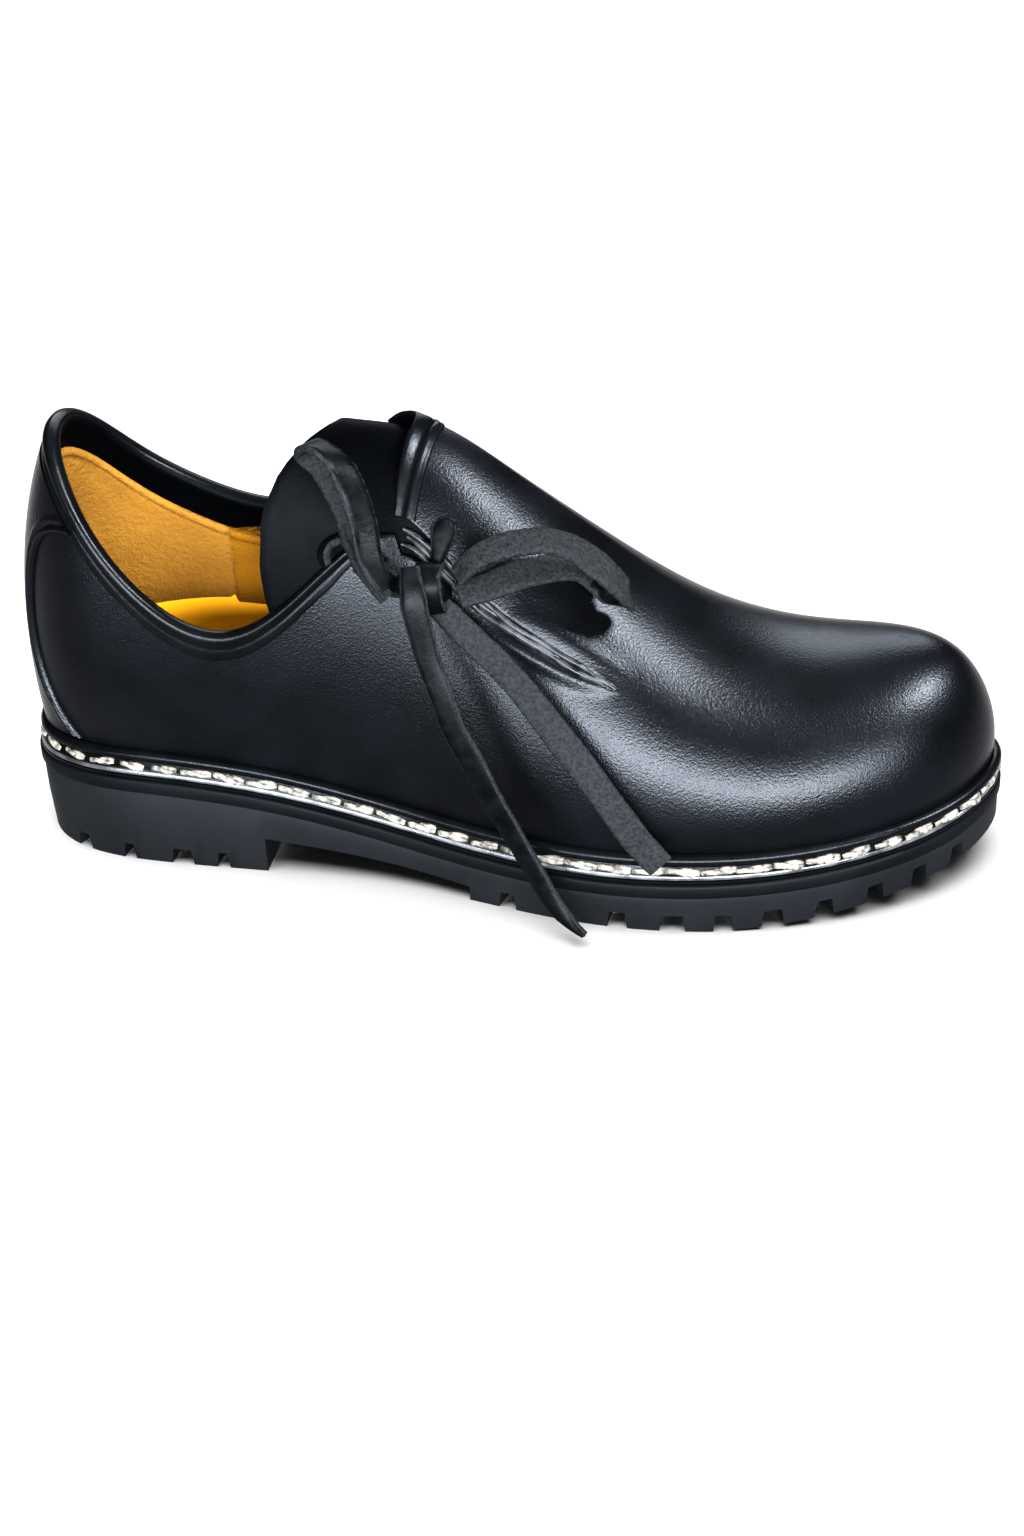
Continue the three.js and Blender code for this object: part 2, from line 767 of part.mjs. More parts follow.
function upper() {
  const stations = upperStations();
  const flapStart = collarSteps;
  const slitStop = collarSteps + slitSteps;
  const last = stations.length - 1;
  const points = [];
  const numbers = new Map();
  const triangles = [];

  // Number of the outer point of a grid place, its inner point is the next number
  function numberOf(side, i, row, aboveSlit) {
    const shared = i === 0 || i === last || row === lowerRows + flapRows;
    const half = shared ? outer : side;
    const split = side === outer && row === lowerRows && i >= flapStart && i < slitStop;
    const key = `${half} ${i} ${row} ${split && aboveSlit}`;
    if (!numbers.has(key)) {
      const up = upOf(half, stations[i], row, split, aboveSlit);
      const round = roundOf(half, stations[i]);
      const outside = skin(round, up, 0);
      const inside = skin(round, up, wall);
      if (row === 0) {
        inside.z = outside.z;
      }
      numbers.set(key, points.length);
      points.push(outside, inside);
    }
    return numbers.get(key);
  }

  function upOf(side, edge, row, split, aboveSlit) {
    const line = lineUp(side, edge);
    const open = side === outer && edge >= flapEdge ? slitShare(edge) : 0;
    const lowTop = line - open;
    const highStart = line + open;
    if (row < lowerRows || (row === lowerRows && !aboveSlit)) {
      return (lowTop * row) / lowerRows;
    }
    return highStart + ((1 - highStart) * (row - lowerRows)) / flapRows;
  }

  function quad(side, corners) {
    const [a, b, c, d] = side === outer ? corners : [...corners].reverse();
    triangles.push([a, b, c], [a, c, d]);
    triangles.push([a + 1, c + 1, b + 1], [a + 1, d + 1, c + 1]);
  }

  // Wall along an edge that runs from a to b with the leather on its left, seen from outside
  function rim(side, a, b) {
    const [from, to] = side === outer ? [a, b] : [b, a];
    triangles.push([from, from + 1, to + 1], [from, to + 1, to]);
  }

  [outer, inner].forEach((side) => {
    for (let i = 0; i < last; i++) {
      for (let row = 0; row < lowerRows; row++) {
        quad(side, [
          numberOf(side, i, row, false),
          numberOf(side, i + 1, row, false),
          numberOf(side, i + 1, row + 1, false),
          numberOf(side, i, row + 1, false),
        ]);
      }
      rim(side, numberOf(side, i, 0, false), numberOf(side, i + 1, 0, false));
      const openAbove = i < flapStart || (side === outer && i < slitStop);
      if (openAbove) {
        rim(side, numberOf(side, i + 1, lowerRows, false), numberOf(side, i, lowerRows, false));
      }
      if (i >= flapStart) {
        for (let row = lowerRows; row < lowerRows + flapRows; row++) {
          quad(side, [
            numberOf(side, i, row, true),
            numberOf(side, i + 1, row, true),
            numberOf(side, i + 1, row + 1, true),
            numberOf(side, i, row + 1, true),
          ]);
        }
        if (side === outer && i < slitStop) {
          rim(side, numberOf(side, i, lowerRows, true), numberOf(side, i + 1, lowerRows, true));
        }
      }
    }
    for (let row = lowerRows; row < lowerRows + flapRows; row++) {
      rim(side, numberOf(side, flapStart, row + 1, true), numberOf(side, flapStart, row, true));
    }
  });
  return solidFromLists(points, triangles);
}

// Patch of leather that follows the skin: a grid of [round, up] places between two depths
function patch(places, nearDepth, farDepth) {
  const front = places.map((row) => row.map(([round, up]) => skin(round, up, nearDepth)));
  const back = places.map((row) => row.map(([round, up]) => skin(round, up, farDepth)));
  return shellFromGrids(front, back);
}

// Rows of places from "start" to "end" across, for each step along
function placesOf(steps, rows, placeAt) {
  const places = [];
  for (let r = 0; r <= rows; r++) {
    const row = [];
    for (let i = 0; i <= steps; i++) {
      row.push(placeAt(i / steps, r / rows));
    }
    places.push(row);
  }
  return places;
}

function sideOf(round) {
  return round <= 0.5 ? outer : inner;
}

function edgeOf(round) {
  return round <= 0.5 ? 2 * round : 2 - 2 * round;
}

// Band round the collar, from the inner end of the vamp's edge by the heel to the quarter's corner
const bandInnerEnd = 0.385;
const bandOuterEnd = 0.37;
const bandSteps = 44;

function collarBand() {
  const places = placesOf(bandSteps, 1, (along, across) => {
    const round = -bandInnerEnd / 2 + ((bandInnerEnd + bandOuterEnd) / 2) * along;
    const wrapped = round - Math.floor(round);
    const side = sideOf(wrapped);
    const edge = edgeOf(wrapped);
    const length = sectionAt(side, edge).lengths[arcSamples];
    const top = lineUp(side, edge) - gap / length;
    return [wrapped, top - (bandHeight / length) * (1 - across)];
  });
  return patch(places, -overlayGap - overlayThickness, -overlayGap);
}

// Binding along the top edge of the vamp, from the slit's corner over the crown
const bindingWidth = 5;
const bindingStart = flapEdge + 0.002;
const bindingSteps = 14;
const cornerShare = 0.01;

function vampBinding() {
  const places = placesOf(2, bindingSteps, (along, across) => {
    const edge = bindingStart + (bindingWidth / halves[outer].total) * along;
    const outerStart = lineUp(outer, edge) + slitShare(edge) + cornerShare;
    const innerStart = lineUp(inner, edge);
    const up = outerStart + (2 - innerStart - outerStart) * across;
    return [edge / 2, up];
  });
  return patch(places, -overlayGap - overlayThickness, -overlayGap);
}

// Strap up the heel's back, wide under the collar, waisted, and wide again at the welt
const counterRows = [
  { up: 0, half: 0.17 },
  { up: 0.15, half: 0.125 },
  { up: 0.35, half: 0.085 },
  { up: 0.6, half: 0.07 },
  { up: 0.8, half: 0.085 },
  { up: 1, half: 0.125 },
];
const counterHalf = column(counterRows, "up", "half");
const counterSteps = 16;
const counterLift = 1.2;

function heelCounter() {
  const places = placesOf(counterSteps, 8, (along, across) => {
    const lean = 2 * along - 1;
    const edge = Math.abs(lean) * counterHalf(across);
    const round = lean < 0 ? 1 + (lean * counterHalf(across)) / 2 : edge / 2;
    const side = lean < 0 ? inner : outer;
    const length = sectionAt(side, edge).lengths[arcSamples];
    const low = upAtHeight(side, edge, sectionAt(side, edge).base + weltHeight + counterLift);
    const high = lineUp(side, edge) - (bandHeight + 2 * gap) / length;
    return [round - Math.floor(round), low + (high - low) * across];
  });
  return patch(places, -overlayGap - overlayThickness, -overlayGap);
}

// Tongue: an arch of leather under the vamp that stands up out of the throat.
// "back" is where its free edge lies along the half outline, for each place across the crown.
const tongueRows = [
  { across: -1, back: 0.305 },
  { across: -0.8, back: 0.294 },
  { across: -0.5, back: 0.291 },
  { across: -0.2, back: 0.308 },
  { across: 0, back: 0.322 },
  { across: 0.3, back: 0.325 },
  { across: 0.7, back: 0.31 },
  { across: 1, back: 0.32 },
];
const tongueBack = column(tongueRows, "across", "back");
const tongueFront = 0.56;
const tongueOuterDrop = 0.56;
const tongueInnerDrop = 0.5;
const tongueSteps = 14;

function tongue() {
  const places = placesOf(12, tongueSteps, (along, across) => {
    const lean = 2 * across - 1;
    const back = tongueBack(lean);
    const edge = back + (tongueFront - back) * along;
    const drop = lean < 0 ? tongueOuterDrop : tongueInnerDrop;
    const up = 1 - Math.abs(lean) * drop;
    return lean <= 0 ? [edge / 2, up] : [edge / 2, 2 - up];
  });
  const near = wall + tongueClearance;
  return patch(places, near, near + tongueThickness);
}

// Footbed: heights over the midsole as shares of its highest rim, which backs the arch
const footbedRise = 31;
const footbedRows = [
  { edge: 0, centre: 0.4, outerRim: 0.66, innerRim: 0.7 },
  { edge: 0.15, centre: 0.38, outerRim: 0.68, innerRim: 0.88 },
  { edge: 0.3, centre: 0.36, outerRim: 0.6, innerRim: 1 },
  { edge: 0.45, centre: 0.32, outerRim: 0.42, innerRim: 0.75 },
  { edge: 0.6, centre: 0.26, outerRim: 0.3, innerRim: 0.38 },
  { edge: 0.8, centre: 0.24, outerRim: 0.26, innerRim: 0.27 },
  { edge: 1, centre: 0.22, outerRim: 0.24, innerRim: 0.24 },
];
const footbedCentre = mirrored(footbedRows, "centre");
const footbedOuter = mirrored(footbedRows, "outerRim");
const footbedInner = mirrored(footbedRows, "innerRim");
const footbedClearance = 0.6;
const footbedFirst = 0.02;
const footbedLast = 0.975;
const dishPower = 2.5;

function insole() {
  const steps = 22;
  const across = 6;
  const top = [];
  const bottom = [];
  for (let i = 0; i <= steps; i++) {
    const edge = footbedFirst + ((footbedLast - footbedFirst) * i) / steps;
    const sides = [[outer, footbedOuter(edge)], [inner, footbedInner(edge)]];
    const [outerSide, innerSide] = sides.map(([side, share]) => {
      const depth = -(wall + footbedClearance);
      const low = upperAt(side, edge, 0, depth);
      const high = upperAt(side, edge, share * footbedRise, depth);
      return { low, high };
    });
    const topRow = [];
    const bottomRow = [];
    for (let k = 0; k <= across; k++) {
      const t = k / across;
      const low = outerSide.low.clone().lerp(innerSide.low, t);
      const high = outerSide.high.clone().lerp(innerSide.high, t);
      const dish = 1 - Math.abs(2 * t - 1) ** dishPower;
      const floor = stackTop(high.x) + gap + footbedCentre(edge) * footbedRise;
      high.z += (floor - high.z) * dish;
      low.z = stackTop(low.x) + 2 * gap;
      topRow.push(high);
      bottomRow.push(low);
    }
    top.push(topRow);
    bottom.push(bottomRow);
  }
  return shellFromGrids(bottom, top);
}

// Lace: flat leather. Each run is a plain flat band along a curve through chosen points, given
// as shares of the sole's length, the ball's width and the instep's height, and "widthWay" is
// the way that the band's width faces where the run starts.
const laceEdge = 0.6;

function flatSection(width, thickness, turn) {
  const halfWidth = width / 2;
  const halfThick = thickness / 2;
  const corners = [
    [halfWidth, halfThick - laceEdge],
    [halfWidth - laceEdge, halfThick],
    [-halfWidth + laceEdge, halfThick],
    [-halfWidth, halfThick - laceEdge],
    [-halfWidth, -halfThick + laceEdge],
    [-halfWidth + laceEdge, -halfThick],
    [halfWidth - laceEdge, -halfThick],
    [halfWidth, -halfThick + laceEdge],
  ];
  const turned = corners.map(([x, y]) => [
    x * Math.cos(turn) - y * Math.sin(turn),
    x * Math.sin(turn) + y * Math.cos(turn),
  ]);
  return polygon(turned);
}

function lacePoint({ along, across, high }) {
  return new THREE.Vector3(along * soleLength, across * ballWidth, high * instepHeight);
}

function band(rows, widthWay, steps, width = laceWidth, thickness = laceThickness) {
  const path = new THREE.CatmullRomCurve3(rows.map(lacePoint));
  const frames = path.computeFrenetFrames(steps, false);
  const way = new THREE.Vector3(...widthWay);
  const turn = Math.atan2(way.dot(frames.binormals[0]), way.dot(frames.normals[0]));
  const shape = flatSection(width, thickness, turn);
  return new THREE.ExtrudeGeometry(shape, { steps, extrudePath: path, bevelEnabled: false });
}

// Strap from the vamp's hole under the knot and across the throat to the quarter's corner
const barRows = [
  { along: 0.4611, across: -0.1971, high: 0.845 },
  { along: 0.4561, across: -0.2442, high: 0.7907 },
  { along: 0.4474, across: -0.2808, high: 0.7442 },
  { along: 0.4316, across: -0.2962, high: 0.7178 },
  { along: 0.4105, across: -0.2923, high: 0.7163 },
  { along: 0.3912, across: -0.2885, high: 0.7411 },
  { along: 0.3772, across: -0.2827, high: 0.7643 },
];

// Back loop, from the knot up over the tongue and down again behind itself
const backLoopRows = [
  { along: 0.4154, across: -0.4077, high: 0.7628 },
  { along: 0.4028, across: -0.3942, high: 0.8124 },
  { along: 0.3951, across: -0.3519, high: 0.8643 },
  { along: 0.3818, across: -0.3077, high: 0.945 },
  { along: 0.3695, across: -0.2904, high: 0.9938 },
  { along: 0.3551, across: -0.2702, high: 1.0194 },
  { along: 0.3365, across: -0.2356, high: 1.0202 },
  { along: 0.3298, across: -0.2106, high: 0.9969 },
  { along: 0.3361, across: -0.2048, high: 0.9651 },
  { along: 0.3449, across: -0.2144, high: 0.9295 },
  { along: 0.3568, across: -0.2404, high: 0.8814 },
  { along: 0.3677, across: -0.2846, high: 0.8287 },
  { along: 0.3832, across: -0.3423, high: 0.7876 },
  { along: 0.4, across: -0.3673, high: 0.7535 },
  { along: 0.4133, across: -0.375, high: 0.7287 },
];

// Front loop, out over the vamp and back under itself
const frontLoopRows = [
  { along: 0.4807, across: -0.3462, high: 0.7752 },
  { along: 0.4961, across: -0.3462, high: 0.814 },
  { along: 0.5193, across: -0.3192, high: 0.8357 },
  { along: 0.5526, across: -0.2817, high: 0.8388 },
  { along: 0.5828, across: -0.2538, high: 0.8171 },
  { along: 0.6091, across: -0.25, high: 0.7752 },
  { along: 0.6281, across: -0.2481, high: 0.7349 },
  { along: 0.6351, across: -0.2365, high: 0.7039 },
  { along: 0.626, across: -0.2135, high: 0.6961 },
  { along: 0.6081, across: -0.1981, high: 0.7132 },
  { along: 0.5888, across: -0.1942, high: 0.7333 },
  { along: 0.5649, across: -0.2154, high: 0.7411 },
  { along: 0.5347, across: -0.2558, high: 0.7395 },
  { along: 0.5053, across: -0.2962, high: 0.7256 },
  { along: 0.4793, across: -0.3269, high: 0.7147 },
];

// Long end, over the knot and down past the sole's edge to the floor
const longEndRows = [
  { along: 0.4386, across: -0.3885, high: 0.8093 },
  { along: 0.4442, across: -0.4327, high: 0.7519 },
  { along: 0.4505, across: -0.4519, high: 0.6915 },
  { along: 0.4582, across: -0.4683, high: 0.6279 },
  { along: 0.4698, across: -0.4894, high: 0.5597 },
  { along: 0.4811, across: -0.5077, high: 0.4876 },
  { along: 0.4975, across: -0.5192, high: 0.4147 },
  { along: 0.5133, across: -0.5269, high: 0.3388 },
  { along: 0.5323, across: -0.5288, high: 0.2558 },
  { along: 0.5516, across: -0.5385, high: 0.1767 },
  { along: 0.5719, across: -0.5577, high: 0.0992 },
  { along: 0.5909, across: -0.5827, high: 0.0558 },
  { along: 0.6077, across: -0.6096, high: 0.0357 },
];

// Short end, down the vamp to the welt
const shortEndRows = [
  { along: 0.4758, across: -0.375, high: 0.6853 },
  { along: 0.5021, across: -0.4038, high: 0.6388 },
  { along: 0.5347, across: -0.4346, high: 0.5775 },
  { along: 0.5656, across: -0.4712, high: 0.5085 },
  { along: 0.5954, across: -0.5038, high: 0.4326 },
  { along: 0.627, across: -0.525, high: 0.3419 },
  { along: 0.6586, across: -0.5288, high: 0.2388 },
  { along: 0.6789, across: -0.525, high: 0.1814 },
];

const knotRows = [
  { along: 0.4232, across: -0.3548, high: 0.7426 },
  { along: 0.4481, across: -0.3558, high: 0.7442 },
  { along: 0.473, across: -0.3548, high: 0.7442 },
];
const knotHeight = 10;
const knotThickness = 7;

// The finished parts

function material(color, roughness) {
  return new THREE.MeshStandardMaterial({ color, roughness, metalness: 0 });
}

const rubber = material(0x2b2e32, 0.75);
const blackLeather = material(0x17191d, 0.35);
const laceLeather = material(0x1d2023, 0.6);
const footbedLeather = material(0xf2b01e, 0.8);

const shoe = new THREE.Group();
shoe.position.x = -heelCentre;

function add(name, geometry, look) {
  const mesh = new THREE.Mesh(geometry, look);
  mesh.name = name;
  shoe.add(mesh);
}

add("outsole", outsole(), rubber);
add("midsole", midsole(), rubber.clone());
add("welt", welt(), blackLeather);
add("insole", insole(), footbedLeather);
add("upper", upper(), blackLeather.clone());
add("collar_band", collarBand(), blackLeather.clone());
add("vamp_binding", vampBinding(), blackLeather.clone());
add("heel_counter", heelCounter(), blackLeather.clone());
add("tongue", tongue(), blackLeather.clone());
add("lace_bars", band(barRows, [1, 0, 0], 14), laceLeather);
add("lace_knot", band(knotRows, [0, 0, 1], 2, knotHeight, knotThickness), laceLeather.clone());
add("lace_loop_back", band(backLoopRows, [1, 0, 0], 28), laceLeather.clone());
add("lace_loop_front", band(frontLoopRows, [0, 0, 1], 30), laceLeather.clone());
add("lace_end_long", band(longEndRows, [1, 0, 0], 22), laceLeather.clone());
add("lace_end_short", band(shortEndRows, [1, 0, 1], 15), laceLeather.clone());

const model = new THREE.Group();
model.add(shoe);

export default model;
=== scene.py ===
import itertools
import math

import bmesh
import bpy
import numpy as np
from mathutils import Matrix, Vector


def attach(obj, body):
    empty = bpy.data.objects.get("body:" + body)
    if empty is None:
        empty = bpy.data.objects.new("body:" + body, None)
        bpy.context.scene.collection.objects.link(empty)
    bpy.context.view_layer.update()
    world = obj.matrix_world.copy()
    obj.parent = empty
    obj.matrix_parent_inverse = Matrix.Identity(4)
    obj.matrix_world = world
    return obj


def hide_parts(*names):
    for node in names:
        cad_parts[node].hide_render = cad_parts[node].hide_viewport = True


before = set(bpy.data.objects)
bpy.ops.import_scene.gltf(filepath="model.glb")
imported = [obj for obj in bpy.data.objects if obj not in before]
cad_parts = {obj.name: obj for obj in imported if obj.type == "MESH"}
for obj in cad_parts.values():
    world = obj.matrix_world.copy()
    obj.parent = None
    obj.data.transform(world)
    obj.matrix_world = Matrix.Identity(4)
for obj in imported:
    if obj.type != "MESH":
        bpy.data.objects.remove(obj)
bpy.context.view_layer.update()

# The shoe is worked in millimetres: +X runs from the heel's back to the toe, -Y to the outer
# side, +Z up. to_frame() puts points in the frame, in metres.
SOLE_LENGTH = 285.0
BALL_WIDTH = 104.0
HEEL_WIDTH = 70.6
HEEL_STACK = 28.2
FORE_STACK = 14.7
TOE_SPRING = 12.0
INSTEP_HEIGHT = 129.0
COLLAR_HEIGHT = 126.0
HEEL_TREAD_END = 74.0
FORE_TREAD_START = 137.0
HEEL_CENTRE = HEEL_TREAD_END / 2

GAP = 0.3
MIDSOLE_THICKNESS = 4.1
MIDSOLE_PROUD = 0.6
WELT_INSET = 0.6
FEATHER_INSET = 5.2
WALL = 2.4
OUTER, INNER = -1, 1
MM = 0.001  # in metres


def to_frame(points):
    return (np.asarray(points, float) - (HEEL_CENTRE, 0, 0)) * MM


def add_object(name, data):
    thing = bpy.data.objects.new(name, data)
    bpy.context.scene.collection.objects.link(thing)
    return thing


# Camera: turned, raised and rolled as the photograph's is

CAMERA_AZIMUTH = math.radians(10.82)
CAMERA_ELEVATION = math.radians(30.91)
CAMERA_ROLL = math.radians(-2.41)
CAMERA_DISTANCE = 769.26
CAMERA_TARGET = (142.78, 0, 18.79)
CAMERA_LENS = 60.86

sin_a, cos_a = math.sin(CAMERA_AZIMUTH), math.cos(CAMERA_AZIMUTH)
sin_e, cos_e = math.sin(CAMERA_ELEVATION), math.cos(CAMERA_ELEVATION)
view_back = np.array((sin_a * cos_e, -cos_a * cos_e, sin_e))
level_right = np.array((cos_a, sin_a, 0))
level_up = np.cross(view_back, level_right)
view_right = math.cos(CAMERA_ROLL) * level_right + math.sin(CAMERA_ROLL) * level_up
view_up = -math.sin(CAMERA_ROLL) * level_right + math.cos(CAMERA_ROLL) * level_up


def make_camera():
    data = bpy.data.cameras.new("camera")
    data.lens = CAMERA_LENS
    data.clip_start = 0.01
    camera = add_object("camera", data)
    turned = Matrix(np.array((view_right, view_up, view_back)).T.tolist()).to_4x4()
    stand = to_frame(np.array(CAMERA_TARGET) + view_back * CAMERA_DISTANCE)
    camera.matrix_world = Matrix.Translation(stand.tolist()) @ turned
    bpy.context.scene.camera = camera


make_camera()


# Curves and meshes

class Smooth:
    """Natural cubic spline through the points (xs, ys)."""

    def __init__(self, xs, ys):
        self.xs, self.ys = np.asarray(xs, float), np.asarray(ys, float)
        count = len(self.xs)
        spans = np.diff(self.xs)
        slopes = np.diff(self.ys) / spans
        matrix, right = np.eye(count), np.zeros(count)
        for i in range(1, count - 1):
            matrix[i, i - 1:i + 2] = spans[i - 1], 2 * (spans[i - 1] + spans[i]), spans[i]
            right[i] = 6 * (slopes[i] - slopes[i - 1])
        self.bend = np.linalg.solve(matrix, right)

    def __call__(self, x):
        x = np.asarray(x, float)
        i = np.clip(np.searchsorted(self.xs, x), 1, len(self.xs) - 1)
        span = self.xs[i] - self.xs[i - 1]
        a = (self.xs[i] - x) / span
        b = 1 - a
        curve = ((a ** 3 - a) * self.bend[i - 1] + (b ** 3 - b) * self.bend[i]) * span ** 2 / 6
        return a * self.ys[i - 1] + b * self.ys[i] + curve


def travelled(points):
    """Distance along the points, from 0 at the first."""
    return np.concatenate(([0], np.cumsum(np.linalg.norm(np.diff(points, axis=0), axis=1))))


FINE_STEPS = 8


def smooth_path(points, count):
    """Points at even steps along one smooth curve through the chosen points."""
    points = np.asarray(points, float)
    keys = travelled(points)
    curves = [Smooth(keys, column) for column in points.T]
    fine = np.linspace(0, keys[-1], count * FINE_STEPS)
    travel = travelled(np.array([curve(fine) for curve in curves]).T)
    even = np.interp(np.linspace(0, travel[-1], count), travel, fine)
    return np.array([curve(even) for curve in curves]).T


def unit(vectors):
    vectors = np.asarray(vectors, float)
    return vectors / np.linalg.norm(vectors, axis=-1, keepdims=True)


def at_height(flat, z):
    """Flat points lifted to the heights z."""
    return np.concatenate((flat, z[..., None]), -1)


def shade(mesh, sharp):
    """Smooth, but for edges sharper than the angle in degrees."""
    mesh.shade_smooth()
    mesh.set_sharp_from_angle(angle=math.radians(sharp))


MERGE = 2e-6  # metres; points nearer than this are one point


def make_object(name, points, faces, materials, picks=None, sharp=40.0, merged=False, outward=True):
    """Object from points in mm. picks: each face's material. merged: points that meet are
    joined. outward: faces are turned outwards, which suits a closed form."""
    mesh = bpy.data.meshes.new(name)
    mesh.from_pydata(to_frame(np.asarray(points).reshape(-1, 3)).tolist(), [], faces)
    for material in materials:
        mesh.materials.append(material)
    if picks is not None:
        mesh.polygons.foreach_set("material_index", picks)
    body = bmesh.new()
    body.from_mesh(mesh)
    if merged:
        bmesh.ops.remove_doubles(body, verts=body.verts, dist=MERGE)
        bmesh.ops.dissolve_degenerate(body, edges=body.edges, dist=MERGE / 10)
    if outward:
        bmesh.ops.recalc_face_normals(body, faces=body.faces)
    body.to_mesh(mesh)
    body.free()
    shade(mesh, sharp)
    return add_object(name, mesh)


def settle(piece, slot, *nodes):
    """The piece rides on the shoe's one body and stands for its solids, which are hidden. slot: not
    used.
    """
    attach(piece, "root")
    if nodes:
        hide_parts(*nodes)


def add_piece(name, slot, nodes, points, faces, materials, picks=None, sharp=50.0):
    """Object that is settled as it is made."""
    piece = make_object(name, points, faces, materials, picks, sharp)
    settle(piece, slot, *nodes)
    return piece


def make_plain(piece, sharp=40.0):
    """The piece's modifiers become its mesh."""
    depsgraph = bpy.context.evaluated_depsgraph_get()
    mesh = bpy.data.meshes.new_from_object(piece.evaluated_get(depsgraph))
    piece.modifiers.clear()
    piece.data = mesh
    shade(mesh, sharp)


def add_bevel(piece, width, angle):
    bevel = piece.modifiers.new("rounded edges", "BEVEL")
    bevel.width = width * MM
    bevel.segments = 2
    bevel.limit_method = "ANGLE"
    bevel.angle_limit = math.radians(angle)


def loft(rings, looped=False):
    """Faces between closed rings of points, with end caps unless the loft is looped."""
    count, size = len(rings), len(rings[0])
    faces = []
    for i in range(count if looped else count - 1):
        here, there = i * size, (i + 1) % count * size
        for k in range(size):
            beside = (k + 1) % size
            faces.append((here + k, there + k, there + beside, here + beside))
    if not looped:
        faces.append(tuple(range(size)))
        faces.append(tuple(range(count * size - 1, (count - 1) * size - 1, -1)))
    return faces


def shell(front, back):
    """Points and faces of the closed solid between two grids of points."""
    rings = np.concatenate((front, back[:, ::-1]), axis=1)
    return rings.reshape(-1, 3), loft(rings)


def cap_picks(faces, size, first):
    """Material picks of a capped loft: 1 from a place of the section on, 0 before it and on the
    caps."""
    return [int(face[0] % size >= first) for face in faces[:-2]] + [0, 0]


# The sole's outline and the last, worked as the solids are

# (along, across) as shares of the sole's length and of a width: the ball's for the rows in
# BALL_ROWS, the heel's for the others
OUTLINE = (
    (0, 0), (0.02, -0.285), (0.07, -0.43), (0.15, -0.49), (0.28, -0.505), (0.4, -0.366),
    (0.5, -0.432), (0.6, -0.494), (0.7, -0.505), (0.8, -0.455), (0.9, -0.335), (0.965, -0.19),
    (1, 0.05), (0.975, 0.22), (0.92, 0.355), (0.84, 0.455), (0.73, 0.49), (0.6, 0.425),
    (0.48, 0.338), (0.37, 0.455), (0.23, 0.495), (0.12, 0.472), (0.055, 0.4), (0.015, 0.25),
)
BALL_ROWS = slice(5, 19)
OUTLINE_SAMPLES = 720
OUTLINE_WRAP = 4
AHEAD_REACH = 2.5  # samples each way over which the edge's direction is taken


class Outline:
    """The sole's edge as two halves, each from the heel's back to the toe's tip."""

    def __init__(self):
        count = len(OUTLINE)
        order = np.arange(-OUTLINE_WRAP, count + OUTLINE_WRAP + 1) % count
        along, across = np.array(OUTLINE).T
        widths = np.full(count, HEEL_WIDTH)
        widths[BALL_ROWS] = BALL_WIDTH
        points = np.array((along * SOLE_LENGTH, across * widths)).T[order]
        keys = travelled(points)
        self.along, self.across = Smooth(keys, points[:, 0]), Smooth(keys, points[:, 1])
        self.start = keys[OUTLINE_WRAP]
        self.lap = keys[OUTLINE_WRAP + count] - self.start
        loop = self.at(np.arange(OUTLINE_SAMPLES))
        self.back, tip = int(np.argmin(loop[:, 0])), int(np.argmax(loop[:, 0]))
        outer_count = (tip - self.back) % OUTLINE_SAMPLES
        counts = {OUTER: outer_count, INNER: OUTLINE_SAMPLES - outer_count}
        self.shares, self.totals, self.halves = {}, {}, {}
        for side, count in counts.items():
            points = self.at(self.back - side * np.arange(count + 1))
            travel = travelled(points)
            self.shares[side] = travel / travel[-1]
            self.totals[side] = travel[-1]
            self.halves[side] = points

    def at(self, index):
        key = self.start + self.lap * (np.asarray(index, float) % OUTLINE_SAMPLES) / OUTLINE_SAMPLES
        return np.array((self.along(key), self.across(key))).T

    def point(self, side, edge, inset=0.0):
        index = np.interp(edge, self.shares[side], np.arange(len(self.shares[side])))
        before = self.at(self.back - side * (index - AHEAD_REACH))
        ahead = unit(self.at(self.back - side * (index + AHEAD_REACH)) - before)
        inward = np.stack((side * ahead[..., 1], -side * ahead[..., 0]), -1)
        return self.at(self.back - side * index) + inward * np.asarray(inset, float)[..., None]

    def edge_at(self, side, x):
        """Share of the half at which it first reaches x."""
        return float(np.interp(x, self.halves[side][:, 0], self.shares[side]))


outline = Outline()

MIRROR_BEFORE, MIRROR_AFTER = 0.35, 0.7


def table_column(rows, column):
    return Smooth([row[0] for row in rows], [row[column] for row in rows])


def mirrored_column(rows, column):
    """A column over the half outline, mirrored past both ends so that the halves join smoothly."""
    before = [row for row in rows if 0 < row[0] < MIRROR_BEFORE][::-1]
    after = [row for row in rows if MIRROR_AFTER < row[0] < 1][::-1]
    keys = [-row[0] for row in before] + [row[0] for row in rows] + [2 - row[0] for row in after]
    return Smooth(keys, [row[column] for row in before + list(rows) + after])


# Height of the midsole's top: (along, share of the heel's extra height, share of the toe spring)
STACK = (
    (0, 0.93, 0), (0.12, 1, 0), (0.28, 0.73, 0), (0.42, 0.19, 0), (0.55, 0.01, 0),
    (0.68, 0, 0.04), (0.8, 0, 0.14), (0.9, 0, 0.33), (0.96, 0, 0.56), (1, 0, 0.8),
)
heel_share, toe_share = table_column(STACK, 1), table_column(STACK, 2)
SPRING_START = 0.66
SPRING_POWER = 2.3


def stack_top(x):
    along = np.asarray(x, float) / SOLE_LENGTH
    return FORE_STACK + (HEEL_STACK - FORE_STACK) * heel_share(along) + TOE_SPRING * toe_share(along)


